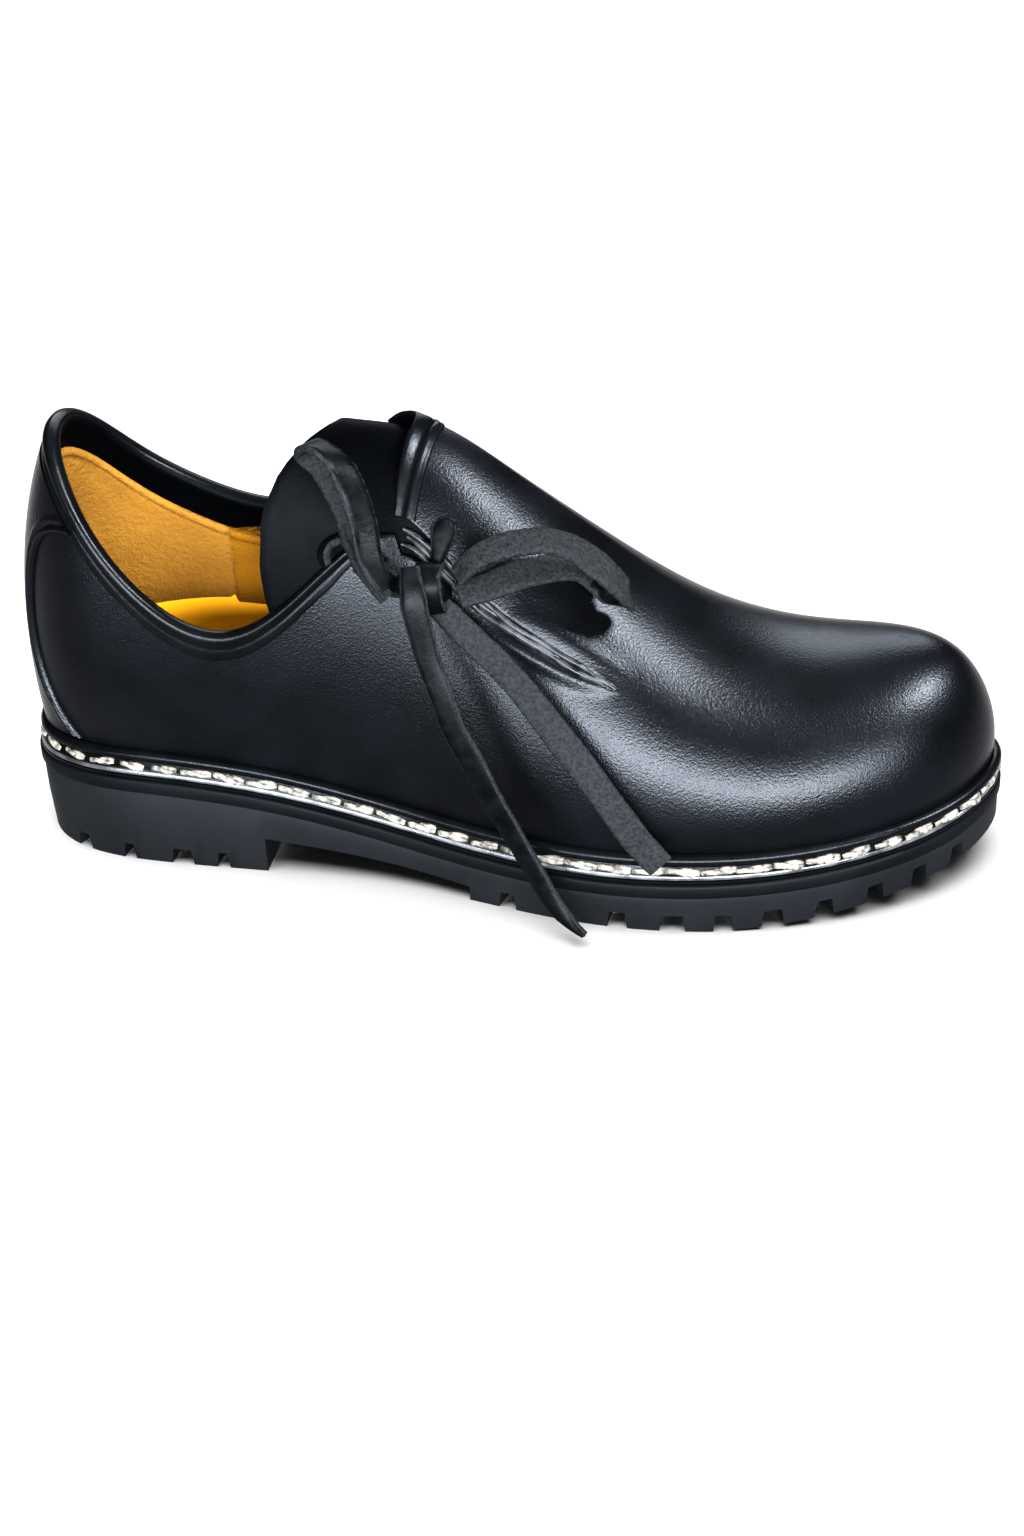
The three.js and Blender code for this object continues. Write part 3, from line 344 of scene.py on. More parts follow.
def tread_bottom(x):
    share = np.maximum(0, np.asarray(x, float) / SOLE_LENGTH - SPRING_START) / (1 - SPRING_START)
    return TOE_SPRING * share ** SPRING_POWER


# The last's half sections: (edge, along, across, high, side, top, belly)
LAST = (
    (0, 0.16, 0, 1.16, 2, 3.5, 0.03),
    (0.12, 0.19, 0, 1.14, 2, 3.5, 0.028),
    (0.24, 0.27, 0.01, 1.07, 2, 3.4, 0.022),
    (0.32, 0.345, 0.02, 1.02, 2, 3, 0.02),
    (0.41, 0.437, 0.03, 0.985, 2, 2.7, 0.02),
    (0.48, 0.515, 0.035, 0.873, 2, 2.6, 0.02),
    (0.56, 0.6, 0.035, 0.735, 2, 2.5, 0.02),
    (0.66, 0.705, 0.035, 0.58, 2.05, 2.5, 0.022),
    (0.76, 0.795, 0.04, 0.51, 2.2, 2.6, 0.026),
    (0.87, 0.86, 0.045, 0.51, 2.6, 3, 0.028),
    (1, 0.892, 0.05, 0.512, 2.8, 3.5, 0.028),
)
last_columns = [mirrored_column(LAST, k) for k in range(1, 7)]
BELLY_PEAK = 6.75
ARC_SAMPLES = 40
TURN_SPREAD = 1.6


def turn_of(share):
    return math.pi / 2 * share ** TURN_SPREAD


def sides_of(around):
    """Side and place on its half of the outline, for places round the shoe."""
    place = np.asarray(around) % 1.0
    return np.where(place <= 0.5, OUTER, INNER), np.where(place <= 0.5, 2 * place, 2 - 2 * place)


class Sections:
    """Half sections of the last at places (side, edge) along the outline."""

    def __init__(self, side, edge):
        side, edge = np.broadcast_arrays(side, np.asarray(edge, float))
        foot = np.empty(edge.shape + (2,))
        for half in (OUTER, INNER):
            mask = side == half
            if mask.any():
                foot[mask] = outline.point(half, edge[mask], FEATHER_INSET)
        along, across, high, self.side, self.top, belly = [column(edge) for column in last_columns]
        reach = np.stack((along * SOLE_LENGTH, across * BALL_WIDTH), -1) - foot
        self.foot = foot
        self.reach = np.linalg.norm(reach, axis=-1)
        self.inward = unit(reach)
        self.base = stack_top(foot[..., 0]) + GAP
        self.rise = high * INSTEP_HEIGHT - self.base
        self.belly = belly * BALL_WIDTH
        arc = [self.point(turn_of(i / ARC_SAMPLES)) for i in range(ARC_SAMPLES + 1)]
        steps = np.linalg.norm(np.diff(arc, axis=0), axis=-1)
        self.lengths = np.concatenate((np.zeros((1,) + edge.shape), np.cumsum(steps, axis=0)))
        self.total = self.lengths[-1]

    def point(self, turn, pick=slice(None)):
        inward = 1 - np.maximum(0, np.cos(turn)) ** (2 / self.side[pick])
        high = np.maximum(0, np.sin(turn)) ** (2 / self.top[pick])
        belly = self.belly[pick] * BELLY_PEAK * high * (1 - high) ** 2
        shift = self.reach[pick] * inward - belly
        flat = self.foot[pick] + self.inward[pick] * shift[..., None]
        return at_height(flat, self.base[pick] + self.rise[pick] * high)

    def up_at(self, z):
        """Share of the half section's length at which it reaches the height z."""
        high = np.clip((z - self.base) / self.rise, 0, 1)
        share = (np.arcsin(high ** (self.top / 2)) / (math.pi / 2)) ** (1 / TURN_SPREAD)
        place = np.minimum(share * ARC_SAMPLES, ARC_SAMPLES - 1e-9)
        i = place.astype(int)
        low = np.take_along_axis(self.lengths, i[None], 0)[0]
        high = np.take_along_axis(self.lengths, i[None] + 1, 0)[0]
        return (low + (high - low) * (place - i)) / self.total


SIDE_KEY = 4  # sets the two sides' keys apart
SKIN_BATCH = 20000
NORMAL_STEP = 0.004


def skin_point(around, up):
    """Point of the last's skin: "around" goes once round the shoe from the heel's back by the
    outer side, "up" from the feather edge (0) to the crown (1) and on down the far side."""
    around, up = np.broadcast_arrays(np.asarray(around, float), np.asarray(up, float))
    shape = up.shape
    around, up = around.ravel(), up.ravel()
    height = np.clip(np.where(up > 1, 2 - up, up), 0, 1)
    side, edge = sides_of(np.where(up > 1, 1 - around, around))
    keys, pick = np.unique(np.round(edge * side + SIDE_KEY * side, 9), return_inverse=True)
    sides = np.sign(keys).astype(int)
    sections = Sections(sides, keys * sides - SIDE_KEY)
    target = height * sections.total[pick]
    found = np.empty(len(target))
    for start in range(0, len(target), SKIN_BATCH):
        part = slice(start, start + SKIN_BATCH)
        rows = sections.lengths[:, pick[part]]
        i = np.clip((rows < target[part]).sum(0), 1, ARC_SAMPLES)
        low = np.take_along_axis(rows, i[None] - 1, 0)[0]
        high = np.take_along_axis(rows, i[None], 0)[0]
        found[part] = i - 1 + (target[part] - low) / (high - low)
    turned = turn_of(np.clip(found / ARC_SAMPLES, 0, 1))
    return sections.point(turned, pick).reshape(shape + (3,))


def skin_normal(around, up):
    around, up = np.broadcast_arrays(np.asarray(around, float), np.asarray(up, float))
    low = np.maximum(up - NORMAL_STEP, 0)
    ahead = skin_point(around + NORMAL_STEP, up) - skin_point(around - NORMAL_STEP, up)
    above = skin_point(around, low + 2 * NORMAL_STEP) - skin_point(around, low)
    normal = np.cross(ahead, above)
    normal[np.linalg.norm(normal, axis=-1) < 1e-9] = (1, 0, 0)  # the nose, where the skin's lines meet
    return unit(normal)


def skin(around, up, depth):
    """Skin point moved in along the surface's normal by depth."""
    depth = np.broadcast_to(depth, np.broadcast(around, up).shape)
    return skin_point(around, up) - skin_normal(around, up) * depth[..., None]


# The edge line as heights: (edge, outer side, inner side) in shares of the collar's height
EDGE_LINE = (
    (0, 1, 1), (0.08, 0.95, 0.95), (0.15, 0.79, 0.83), (0.22, 0.63, 0.735), (0.27, 0.6, 0.71),
    (0.32, 0.68, 0.74), (0.37, 0.805, 0.815), (0.41, 0.83, 0.9), (0.46, 0.735, 0.8),
    (0.53, 0.62, 0.67), (0.6, 0.53, 0.56), (0.7, 0.42, 0.44), (0.85, 0.38, 0.38), (1, 0.38, 0.38),
)
edge_lines = {OUTER: mirrored_column(EDGE_LINE, 1), INNER: mirrored_column(EDGE_LINE, 2)}
FLAP_EDGE = 0.41
SLIT_END = 0.6
SLIT_MOUTH = 5.0
SLIT_WIDTH = 2.4
SLIT_FLARE = 6


def line_up(side, edge):
    return Sections(side, edge).up_at(edge_lines[side](edge) * COLLAR_HEIGHT)


def slit_share(edge):
    along = np.clip((np.asarray(edge, float) - FLAP_EDGE) / (SLIT_END - FLAP_EDGE), 0, 1)
    half = SLIT_WIDTH * np.sqrt(1 - along) + (SLIT_MOUTH - SLIT_WIDTH) * (1 - along) ** SLIT_FLARE
    return half / Sections(OUTER, edge).total


def around_of(side, edge):
    return edge / 2 if side == OUTER else 1 - edge / 2


def wall_point(side, edge, rise, clearance):
    """Upper's outer skin at a height above the midsole, pushed out by a clearance."""
    sections = Sections(side, edge)
    height = sections.base + rise
    point = skin(around_of(side, edge), sections.up_at(height), -clearance)
    point[..., 2] = height
    return point


# Finishes

def add_node(tree, kind, inputs=(), **settings):
    """Node with its settings. inputs: (name or place, value or the socket that feeds it)."""
    node = tree.nodes.new(kind)
    for name, value in settings.items():
        setattr(node, name, value)
    for name, value in inputs:
        if isinstance(value, bpy.types.NodeSocket):
            tree.links.new(value, node.inputs[name])
        else:
            node.inputs[name].default_value = value
    return node


SPECULAR_TINT = (0.8, 0.88, 1, 1)
TONE_SPREAD = (0.35, 0.65)
ROUGH_SPREAD = (0.3, 0.7)


def make_finish(name, tones, patch, rough, bumps, specular):
    """Principled finish on Object coordinates. tones: two colours that drift into each other at
    "patch" per metre. rough: lowest and highest roughness. bumps: (kind, per metre, height in mm)."""
    material = bpy.data.materials.new(name)
    material.use_nodes = True
    tree = material.node_tree
    place = add_node(tree, "ShaderNodeTexCoord").outputs["Object"]
    drift = add_node(
        tree, "ShaderNodeTexNoise", (("Scale", patch), ("Detail", 4), ("Vector", place))).outputs["Fac"]
    ramp = add_node(tree, "ShaderNodeValToRGB", (("Fac", drift),))
    for element, position, tone in zip(ramp.color_ramp.elements, TONE_SPREAD, tones):
        element.position = position
        element.color = (*tone, 1)
    spread = add_node(tree, "ShaderNodeMapRange", (
        ("Value", drift), ("From Min", ROUGH_SPREAD[0]), ("From Max", ROUGH_SPREAD[1]),
        ("To Min", rough[0]), ("To Max", rough[1])))
    shader = tree.nodes["Principled BSDF"]
    shader.inputs["Specular IOR Level"].default_value = specular
    shader.inputs["Specular Tint"].default_value = SPECULAR_TINT
    tree.links.new(ramp.outputs["Color"], shader.inputs["Base Color"])
    tree.links.new(spread.outputs["Result"], shader.inputs["Roughness"])
    normal = shader.inputs["Normal"]
    for kind, scale, height in reversed(bumps):
        inputs = (("Scale", scale), ("Vector", place))
        if kind == "cells":
            out = add_node(tree, "ShaderNodeTexVoronoi", inputs, feature="SMOOTH_F1").outputs["Distance"]
        else:
            inputs += (("Detail", 5), ("Roughness", 0.6))
            out = add_node(tree, "ShaderNodeTexNoise", inputs).outputs["Fac"]
        bump = add_node(
            tree, "ShaderNodeBump", (("Height", out), ("Distance", height * MM), ("Strength", 1)))
        tree.links.new(bump.outputs["Normal"], normal)
        normal = bump.inputs["Normal"]
    return material


smooth_leather = make_finish(
    "smooth_black_leather", ((0.0003, 0.00036, 0.0005), (0.0006, 0.0007, 0.001)), 45, (0.26, 0.31),
    (("noise", 1150, 0.09), ("cells", 2000, 0.05)), specular=0.055)
rolled_leather = make_finish(
    "rolled_glossy_leather", ((0.0004, 0.0005, 0.0006), (0.0007, 0.0008, 0.001)), 90, (0.25, 0.33),
    (("noise", 300, 0.08), ("noise", 1400, 0.03)), specular=0.036)
matt_leather = make_finish(
    "matt_black_leather", ((0.0001, 0.00015, 0.0002), (0.0002, 0.00025, 0.0004)), 60, (0.44, 0.54),
    (("noise", 500, 0.06), ("cells", 1600, 0.04)), specular=0.01)
lace_leather = make_finish(
    "lace_smooth_leather", ((0.0003, 0.0004, 0.0005), (0.0008, 0.0009, 0.001)), 220, (0.3, 0.42),
    (("noise", 700, 0.08), ("noise", 2200, 0.03)), specular=0.02)
flesh_leather = make_finish(
    "lace_flesh_side", ((0.001, 0.0012, 0.0014), (0.004, 0.0046, 0.0049)), 1100, (0.7, 0.85),
    (("noise", 900, 0.3), ("noise", 2600, 0.15)), specular=0.05)
sole_rubber = make_finish(
    "sole_rubber_slate", ((0.0013, 0.0015, 0.0018), (0.0018, 0.0021, 0.0025)), 35, (0.5, 0.62),
    (("noise", 160, 0.05), ("noise", 1500, 0.03)), specular=0.04)
midsole_rubber = make_finish(
    "midsole_rubber_dark", ((0.0004, 0.0005, 0.0006), (0.0007, 0.0008, 0.001)), 35, (0.5, 0.62),
    (("noise", 160, 0.05), ("noise", 1500, 0.03)), specular=0.03)
# Welt edge: glossier leather, and a lighter tone that is a painted highlight line along the edge
welt_edge_painted_highlight = make_finish(
    "glossy_welt_edge_painted_highlight", ((0.004, 0.0045, 0.005), (0.02, 0.0215, 0.023)), 160, (0.22, 0.34),
    (("noise", 400, 0.1),), specular=0.2)
worn_edge = make_finish(
    "worn_slit_edge", ((0.0006, 0.0007, 0.0008), (0.008, 0.0085, 0.009)), 300, (0.3, 0.45),
    (("noise", 500, 0.15),), specular=0.1)
suede = make_finish(
    "ochre_suede", ((0.062, 0.029, 0.004), (0.08, 0.039, 0.0058)), 40, (0.85, 0.95),
    (("noise", 620, 1.1), ("noise", 1700, 0.3)), specular=0.03)
yellow_suede = make_finish(
    "yellow_suede", ((0.045, 0.019, 0.0009), (0.06, 0.026, 0.0014)), 60, (0.8, 0.95),
    (("noise", 620, 0.9), ("noise", 1700, 0.3)), specular=0.03)
footbed_yellow = make_finish(
    "yellow_footbed_leather", ((0.44, 0.2, 0.004), (0.5, 0.235, 0.006)), 60, (0.6, 0.75),
    (("noise", 500, 0.06),), specular=0.06)
waxed_thread = make_finish(
    "waxed_thread", ((0.011, 0.01, 0.0085), (0.078, 0.075, 0.066)), 480, (0.4, 0.6),
    (("noise", 1300, 0.3),), specular=0.15)


# Laces: flat hand-cut leather, smooth on one side and rough on the flesh side

LACE_THICKNESS = 2.0

# Section of the strip: (across in half widths, up in half thicknesses)
STRIP_SECTION = (
    (-0.86, 1), (-0.5, 1.06), (-0.17, 1.1), (0.17, 1.1), (0.5, 1.06), (0.86, 1),
    (0.96, 0.6), (1, 0), (0.96, -0.6), (0.86, -1), (0.5, -1), (0.17, -1),
    (-0.17, -1), (-0.5, -1), (-0.86, -1), (-0.96, -0.6), (-1, 0), (-0.96, 0.6),
)
LAST_SMOOTH = 5  # the section's points up to this one are on the smooth side
SMOOTH_RAGGED = 0.15  # share of the flesh side's roughness that the smooth side has
STATION_STEP = 0.9
WANDER = 0.05
RAGGED_EDGE = 0.4


def toward(back, right, up):
    """A way given as parts towards the camera, to its right and to its top."""
    return unit(back * view_back + right * view_right + up * view_up)


def strip(name, nodes, rows, facing, widths, seed, cup=0.0, ragged=0.14, turned_at=1.0):
    """Flat strip along chosen points, which stands for the nodes. facing: (share of
    the length, parts of the way that the smooth side faces). widths: (share, width). cup: height
    of the edges over the middle. Past the share turned_at both faces show the flesh side. Returns
    the piece and its route in the frame."""
    chance = np.random.default_rng(seed)
    count = int(travelled(np.asarray(rows, float))[-1] / STATION_STEP)
    path = smooth_path(rows, count)
    share = np.linspace(0, 1, count)
    ahead = unit(np.gradient(path, axis=0))
    keys = [row[0] for row in facing]
    ways = zip(*(toward(*row[1:]) for row in facing))
    ways = np.array([np.interp(share, keys, column) for column in ways]).T
    ways = unit(ways - ahead * (ways * ahead).sum(1, keepdims=True))
    across = np.cross(ahead, ways)
    half_width = np.interp(share, *np.array(widths).T)[:, None] / 2
    wander = np.cumsum(chance.normal(0, WANDER, (count, 2)), axis=0)
    wander -= np.linspace(wander[0], wander[-1], count)
    size = len(STRIP_SECTION)
    a, b = np.array(STRIP_SECTION).T
    rough = np.where(np.arange(size) > LAST_SMOOTH, 1, SMOOTH_RAGGED) * ragged
    rough = rough * chance.normal(size=(count, size))
    edge_wander = wander[:, np.where(a > 0, 0, 1)] * abs(a)
    shift = a * half_width + edge_wander + rough * RAGGED_EDGE * a
    lift = (b + rough) * LACE_THICKNESS / 2 + cup * a * a
    rings = path[:, None] + across[:, None] * shift[..., None] + ways[:, None] * lift[..., None]
    faces = loft(rings)
    turn = turned_at * count * size
    picks = [int(face[0] % size >= LAST_SMOOTH or face[0] >= turn) for face in faces[:-2]] + [1, 1]
    leathers = (lace_leather, flesh_leather)
    piece = add_piece(name, "lace_leather", nodes, rings, faces, leathers, picks, sharp=60)
    return piece, to_frame(path)


BACK_LOOP = (
    (118.4, -42.4, 98.4), (114.8, -41, 104.8), (112.6, -36.6, 111.5), (108.8, -32, 121.9),
    (105.3, -30.2, 128.2), (101.2, -28.1, 131.5), (95.9, -24.5, 131.6), (94, -21.9, 128.6),
    (96.6, -21.1, 124.7), (99.4, -22.1, 120.2), (103, -24.8, 114), (106.2, -29.4, 107.3),
    (110.4, -35.4, 102), (114.6, -38.2, 97.5), (117.8, -39, 94),
)
back_loop, back_loop_path = strip(
    "lace_back_loop", ("lace_loop_back",), BACK_LOOP,
    ((0, 1, 0.5, 0), (0.3, 1, 0.45, 0.2), (0.42, 0.5, 0.2, 1),
     (0.5, 0, -0.6, 1), (0.58, -0.8, -0.8, 0.2), (1, -1, -0.5, -0.1)),
    ((0, 5), (0.1, 7.4), (0.3, 8), (0.45, 8.2), (0.56, 6.6), (0.7, 5.4), (1, 4.4)), seed=11)

FRONT_LOOP = (
    (137, -36, 100), (141.4, -36, 105), (148, -33.2, 107.8), (157.5, -29.3, 108.2),
    (166.1, -26.4, 105.4), (173.6, -26, 100), (179, -25.8, 94.8), (181, -24.6, 90.8),
    (178.4, -22.2, 90.4), (173.3, -20.6, 93), (167.8, -20.2, 95.9), (161, -22.4, 96.9),
    (152.4, -26.6, 96.6), (144, -30.8, 94.6), (136.6, -34, 93),
)
front_loop, front_loop_path = strip(
    "lace_front_loop", ("lace_loop_front",), FRONT_LOOP,
    ((0, -0.8, 0, -0.5), (0.4, -0.8, 0, -0.6), (0.52, -0.6, -0.7, -0.4),
     (0.6, 0.3, -0.5, 0.5), (0.7, 0.7, 0, 0.6), (1, 1, 0, 0.3)),
    ((0, 6.4), (0.15, 8.4), (0.45, 9), (0.7, 9.6), (0.85, 9.4), (1, 7.4)), seed=12, turned_at=0.62)

LONG_END = (
    (125, -40.4, 104.4), (126.6, -45, 97), (128.4, -47, 89.2), (130.6, -48.7, 81),
    (133.9, -50.9, 72.2), (137.1, -52.8, 62.9), (141.8, -54, 53.5), (146.3, -54.8, 43.7),
    (151.7, -55, 33), (157.2, -56, 22.8), (163, -58, 12.8), (168.4, -60.6, 7.2), (173.2, -63.4, 4.6),
)
long_end, long_end_path = strip(
    "lace_long_end", ("lace_end_long",), LONG_END,
    ((0, 1, -0.1, 0.6), (0.15, 1, -0.1, 0), (0.5, 1, -0.5, 0), (1, 1, -0.9, 0)),
    ((0, 5.4), (0.08, 7.2), (0.45, 7), (0.8, 6.4), (0.93, 5), (1, 1.6)), seed=13, ragged=0.07, cup=-0.35)

SHORT_END = (
    (130.4, -36.8, 92.6), (135.6, -39, 88.4), (143.1, -42, 82.4), (152.4, -45.2, 74.5),
    (161.2, -49, 65.6), (169.7, -52.4, 55.8), (178.7, -54.6, 44.1), (187.7, -55, 30.8),
    (193.5, -54.6, 23.4),
)
short_end, short_end_path = strip(
    "lace_short_end", ("lace_end_short",), SHORT_END,
    ((0, -1, 0.2, -0.3), (0.3, -1, 0.1, 0), (1, -1, 0.1, 0.1)),
    ((0, 7), (0.2, 7.8), (0.7, 8.2), (1, 8)), seed=14, ragged=0.1)


LUMP_ROWS, LUMP_COLUMNS = 22, 36
POLE_GAP = 0.06
BUMPS, BUMP_SCALE, BUMP_HEIGHT = 7, 2.2, 0.05
SQUARENESS = 0.8


def lump(name, nodes, centre, ways, radii, seed):
    """Crumpled rounded lump of leather inside the knot."""
    chance = np.random.default_rng(seed)
    bumps = chance.normal(0, 1, (BUMPS, 3)) * BUMP_SCALE
    tall, wide = np.meshgrid(
        np.linspace(POLE_GAP, math.pi - POLE_GAP, LUMP_ROWS),
        np.linspace(0, 2 * math.pi, LUMP_COLUMNS, endpoint=False), indexing="ij")
    ball = np.stack((np.sin(tall) * np.cos(wide), np.sin(tall) * np.sin(wide), np.cos(tall)), -1)
    ball = np.sign(ball) * np.abs(ball) ** SQUARENESS
    swell = 1 + BUMP_HEIGHT * sum(np.sin(ball @ bump + k) for k, bump in enumerate(bumps))
    points = np.asarray(centre) + (ball * swell[..., None] * radii) @ unit(ways)
    return add_piece(name, "lace_leather", nodes, points, loft(points), (lace_leather,), sharp=70)


knot_core = lump(
    "lace_knot_core", ("lace_knot",), (127.4, -36, 95.4), (view_right, view_up, view_back),
    (7, 4.8, 4.2), seed=5)
knot_wrap, _ = strip(
    "lace_knot_wrap", (),
    ((129.2, -31.5, 100.6), (129, -36.4, 102), (129, -40.2, 99.6), (129.4, -41.4, 95.4),
     (130.2, -40, 91.6), (131, -36.4, 89.6)),
    ((0, 0.1, 0, 1), (0.5, 1, 0, 0), (1, 0.1, 0, -1)),
    ((0, 7), (0.5, 9), (1, 7)), seed=15)

BAR = (
    (131.4, -20.5, 109), (130, -25.4, 102), (127.5, -29.2, 96), (123, -30.8, 92.6),
    (117, -30.4, 92.4), (111.5, -30, 95.6), (107.5, -29.4, 98.6),
)
strip(
    "lace_bar", ("lace_bars",), BAR,
    ((0, 0.9, 0.2, 0.4), (0.3, 1, 0.1, 0.1), (0.6, 1, 0, 0.3), (1, 1, -0.2, 0.3)),
    ((0, 3), (0.02, 5.4), (0.06, 7), (0.12, 6.8), (0.22, 4.6), (0.4, 3.6), (1, 3.6)), seed=16, cup=-0.5)

# The lace's turn through the quarter's corner
CORNER_TURN = (
    (100.1, -32.2, 99.6), (98.9, -31, 101.9), (99.6, -29.5, 104.2), (101.9, -28.2, 105.6),
    (104.6, -27.6, 105.7), (107.5, -28, 104.2), (110.4, -29.2, 101.4), (113, -30.4, 98.6),
)
strip(
    "lace_corner_turn", (), CORNER_TURN,
    ((0, 0.4, -1, 0), (0.35, 0.5, -0.2, 1), (0.7, 0.6, 0.3, 1), (1, 1, 0.3, 0.4)),
    ((0, 3), (0.15, 4.6), (0.6, 5), (1, 4)), seed=17, ragged=0.3)


# Upper: one skin of leather, cut by the slit on the outer side, thickened inwards

COLLAR_STEPS, SLIT_STEPS, TOE_STEPS = 62, 56, 66
LOWER_ROWS, FLAP_ROWS = 54, 32


def upper_stations():
    return np.concatenate((
        np.linspace(0, FLAP_EDGE, COLLAR_STEPS, endpoint=False),
        np.linspace(FLAP_EDGE, SLIT_END, SLIT_STEPS, endpoint=False),
        np.linspace(SLIT_END, 1, TOE_STEPS + 1),
    ))


# Soft ridges in the leather: height and half width in mm, then the points that each follows
CREASES = (
    (1.1, 2.0, ((139, -30.5, 82.6), (145.4, -32, 79.6), (157.2, -33.8, 74.3), (172.7, -35.1, 68.1),
                (178.6, -34.4, 67.1))),
    (0.7, 3.0, ((150, -27.5, 84.6), (161, -29.2, 80.5), (172, -30.6, 74.8), (182, -31.5, 68.6))),
)
CREASE_SAMPLES = 40


def relief(points):
    """Height of the creases at each point."""
    height = np.zeros(points.shape[:-1])
    for rise, reach, route in CREASES:
        line = smooth_path(route, CREASE_SAMPLES)
        away = np.linalg.norm(points[..., None, :] - line, axis=-1)
        fade = np.sin(math.pi * np.argmin(away, axis=-1) / (CREASE_SAMPLES - 1)) ** 0.5
        height += rise * fade * np.exp(-(np.min(away, axis=-1) / reach) ** 2)
    return height


def make_upper():
    stations = upper_stations()
    points, faces = [], []

    def block(side, edges, low, high, rows):
        first = len(points)
        share = np.linspace(0, 1, rows + 1)
        up = low[:, None] + (high - low)[:, None] * share
        around = np.repeat(around_of(side, edges)[:, None], rows + 1, axis=1)
        grid = skin(around, up, 0.0)
        grid = grid + skin_normal(around, up) * relief(grid)[..., None]
        points.extend(grid.reshape(-1, 3))
        wide = rows + 1
        for i in range(len(edges) - 1):
            for k in range(rows):
                a = first + i * wide + k
                quad = (a, a + wide, a + wide + 1, a + 1)
                faces.append(quad if side == OUTER else quad[::-1])

    for side in (OUTER, INNER):
        line = line_up(side, stations)
        lip = np.where(stations >= FLAP_EDGE, slit_share(stations), 0) if side == OUTER else 0 * line
        block(side, stations, 0 * line, line - lip, LOWER_ROWS)
        block(side, stations[COLLAR_STEPS:], (line + lip)[COLLAR_STEPS:],
              np.ones(len(line) - COLLAR_STEPS), FLAP_ROWS)
    piece = make_object(
        "upper_leather", points, faces, (smooth_leather,), merged=True, outward=False)
    thick = piece.modifiers.new("leather thickness", "SOLIDIFY")
    thick.thickness = WALL * MM
    thick.offset = -1
    add_bevel(piece, 0.5, angle=60)
    make_plain(piece)
    settle(piece, "black_leather", "upper")


make_upper()

TRIM_LEATHERS = (rolled_leather, matt_leather)

# Collar: band, groove and rolled edge outside, black facing inside, as (rise over the edge line,
# depth from the skin)
COLLAR_PROFILE = (
    (-7.4, -0.05), (-7.35, -0.4), (-7.1, -0.6), (-6.3, -0.62), (-5.2, -0.7), (-4.2, -0.72),
    (-3.7, -0.6), (-3.3, -0.7), (-2.8, -1.15), (-1.9, -1.6), (-0.8, -1.75), (0.3, -1.4),
    (1.05, -0.5), (1.3, 0.6), (1.15, 1.8), (0.95, 2.3), (0.6, 2.8), (-0.4, 3.4), (-1.6, 3.55),
    (-3, 3.3), (-6, 3.2), (-11.6, 3.1), (-12.4, 2.9), (-12.4, 2.45), (-5, 2.45), (0.1, 2.45),
    (0.1, -0.05), (-3, -0.05),
)
FACING_START = 16
COLLAR_INNER_END = 0.4
COLLAR_OUTER_END = 0.395
COLLAR_STATIONS = 260
# The collar thins to its outer end: over a share of the way round, to shares of its rise and
# depth, the latter about a middle depth
COLLAR_TAPER = 0.02
COLLAR_END_RISE, COLLAR_END_DEPTH = 0.12, 0.2
COLLAR_MIDDLE = 1.2


def by_side(curves, side, edge):
    """Values of the two sides' curves, each at its own side's places."""
    return np.where(side == OUTER, curves[OUTER](edge), curves[INNER](edge))


def line_over(around):
    """Edge line's share and the half section's length at places round the shoe."""
    side, edge = sides_of(around)
    sections = Sections(side, edge)
    return sections.up_at(by_side(edge_lines, side, edge) * COLLAR_HEIGHT), sections.total


def make_collar():
    around = np.linspace(-COLLAR_INNER_END / 2, COLLAR_OUTER_END / 2, COLLAR_STATIONS)
    line, total = line_over(around)
    profile = np.array(COLLAR_PROFILE)
    full = np.clip((COLLAR_OUTER_END / 2 - around) / COLLAR_TAPER, 0, 1)[:, None] ** 0.7
    rise = profile[:, 0] * (COLLAR_END_RISE + (1 - COLLAR_END_RISE) * full)
    spread = COLLAR_END_DEPTH + (1 - COLLAR_END_DEPTH) * full
    depth = COLLAR_MIDDLE + (profile[:, 1] - COLLAR_MIDDLE) * spread
    rings = skin(around[:, None], line[:, None] + rise / total[:, None], depth)
    faces = loft(rings)
    picks = cap_picks(faces, len(profile), FACING_START)
    add_piece("collar_roll", "black_leather", ("collar_band",), rings, faces, TRIM_LEATHERS, picks)


make_collar()

# Binding along the vamp's top edge, which stands off the tongue: (mm forward of the edge, depth
# from the skin)
VAMP_PROFILE = (
    (2.6, -0.05), (2.5, -0.45), (2.1, -0.7), (1.5, -0.55), (1.1, -0.75), (0.4, -0.9),
    (-0.2, -0.75), (-0.5, -0.45), (-0.9, -0.8), (-1.6, -1.1), (-2.8, -1.4), (-4, -1.7),
    (-5, -1.9), (-5.7, -1.7), (-6, -1.2), (-5.7, -0.6), (-4.4, 0), (-2.6, 0.7), (-1.6, 1.6),
    (-0.9, 2.4), (0.1, 3), (1.2, 3.3), (3, 3.2), (9, 3.1), (9.4, 2.9), (9.4, 2.45), (3, 2.45),
    (0.1, 2.45), (0.1, -0.05), (1.5, -0.05),
)
LINED_START = 15
VAMP_STATIONS = 90
VAMP_SETBACK = 0.001
VAMP_FOLD = -0.9
# Over the crown, from the outer end (-1) over the crown (0) to the inner end: how high the
# standing edge lies, and how wide it is
VAMP_LIFT = (
    (-1, 0.6), (-0.6, 0.9), (-0.2, 1), (0, 0.8), (0.12, 0), (0.3, -1.8), (0.7, -1.8), (1, -1),
)
VAMP_STAND = (
    (-1, 0.45), (-0.6, 0.7), (-0.25, 0.85), (-0.05, 1), (0.12, 1.7), (0.3, 2.3), (0.6, 2), (1, 0.8),
)
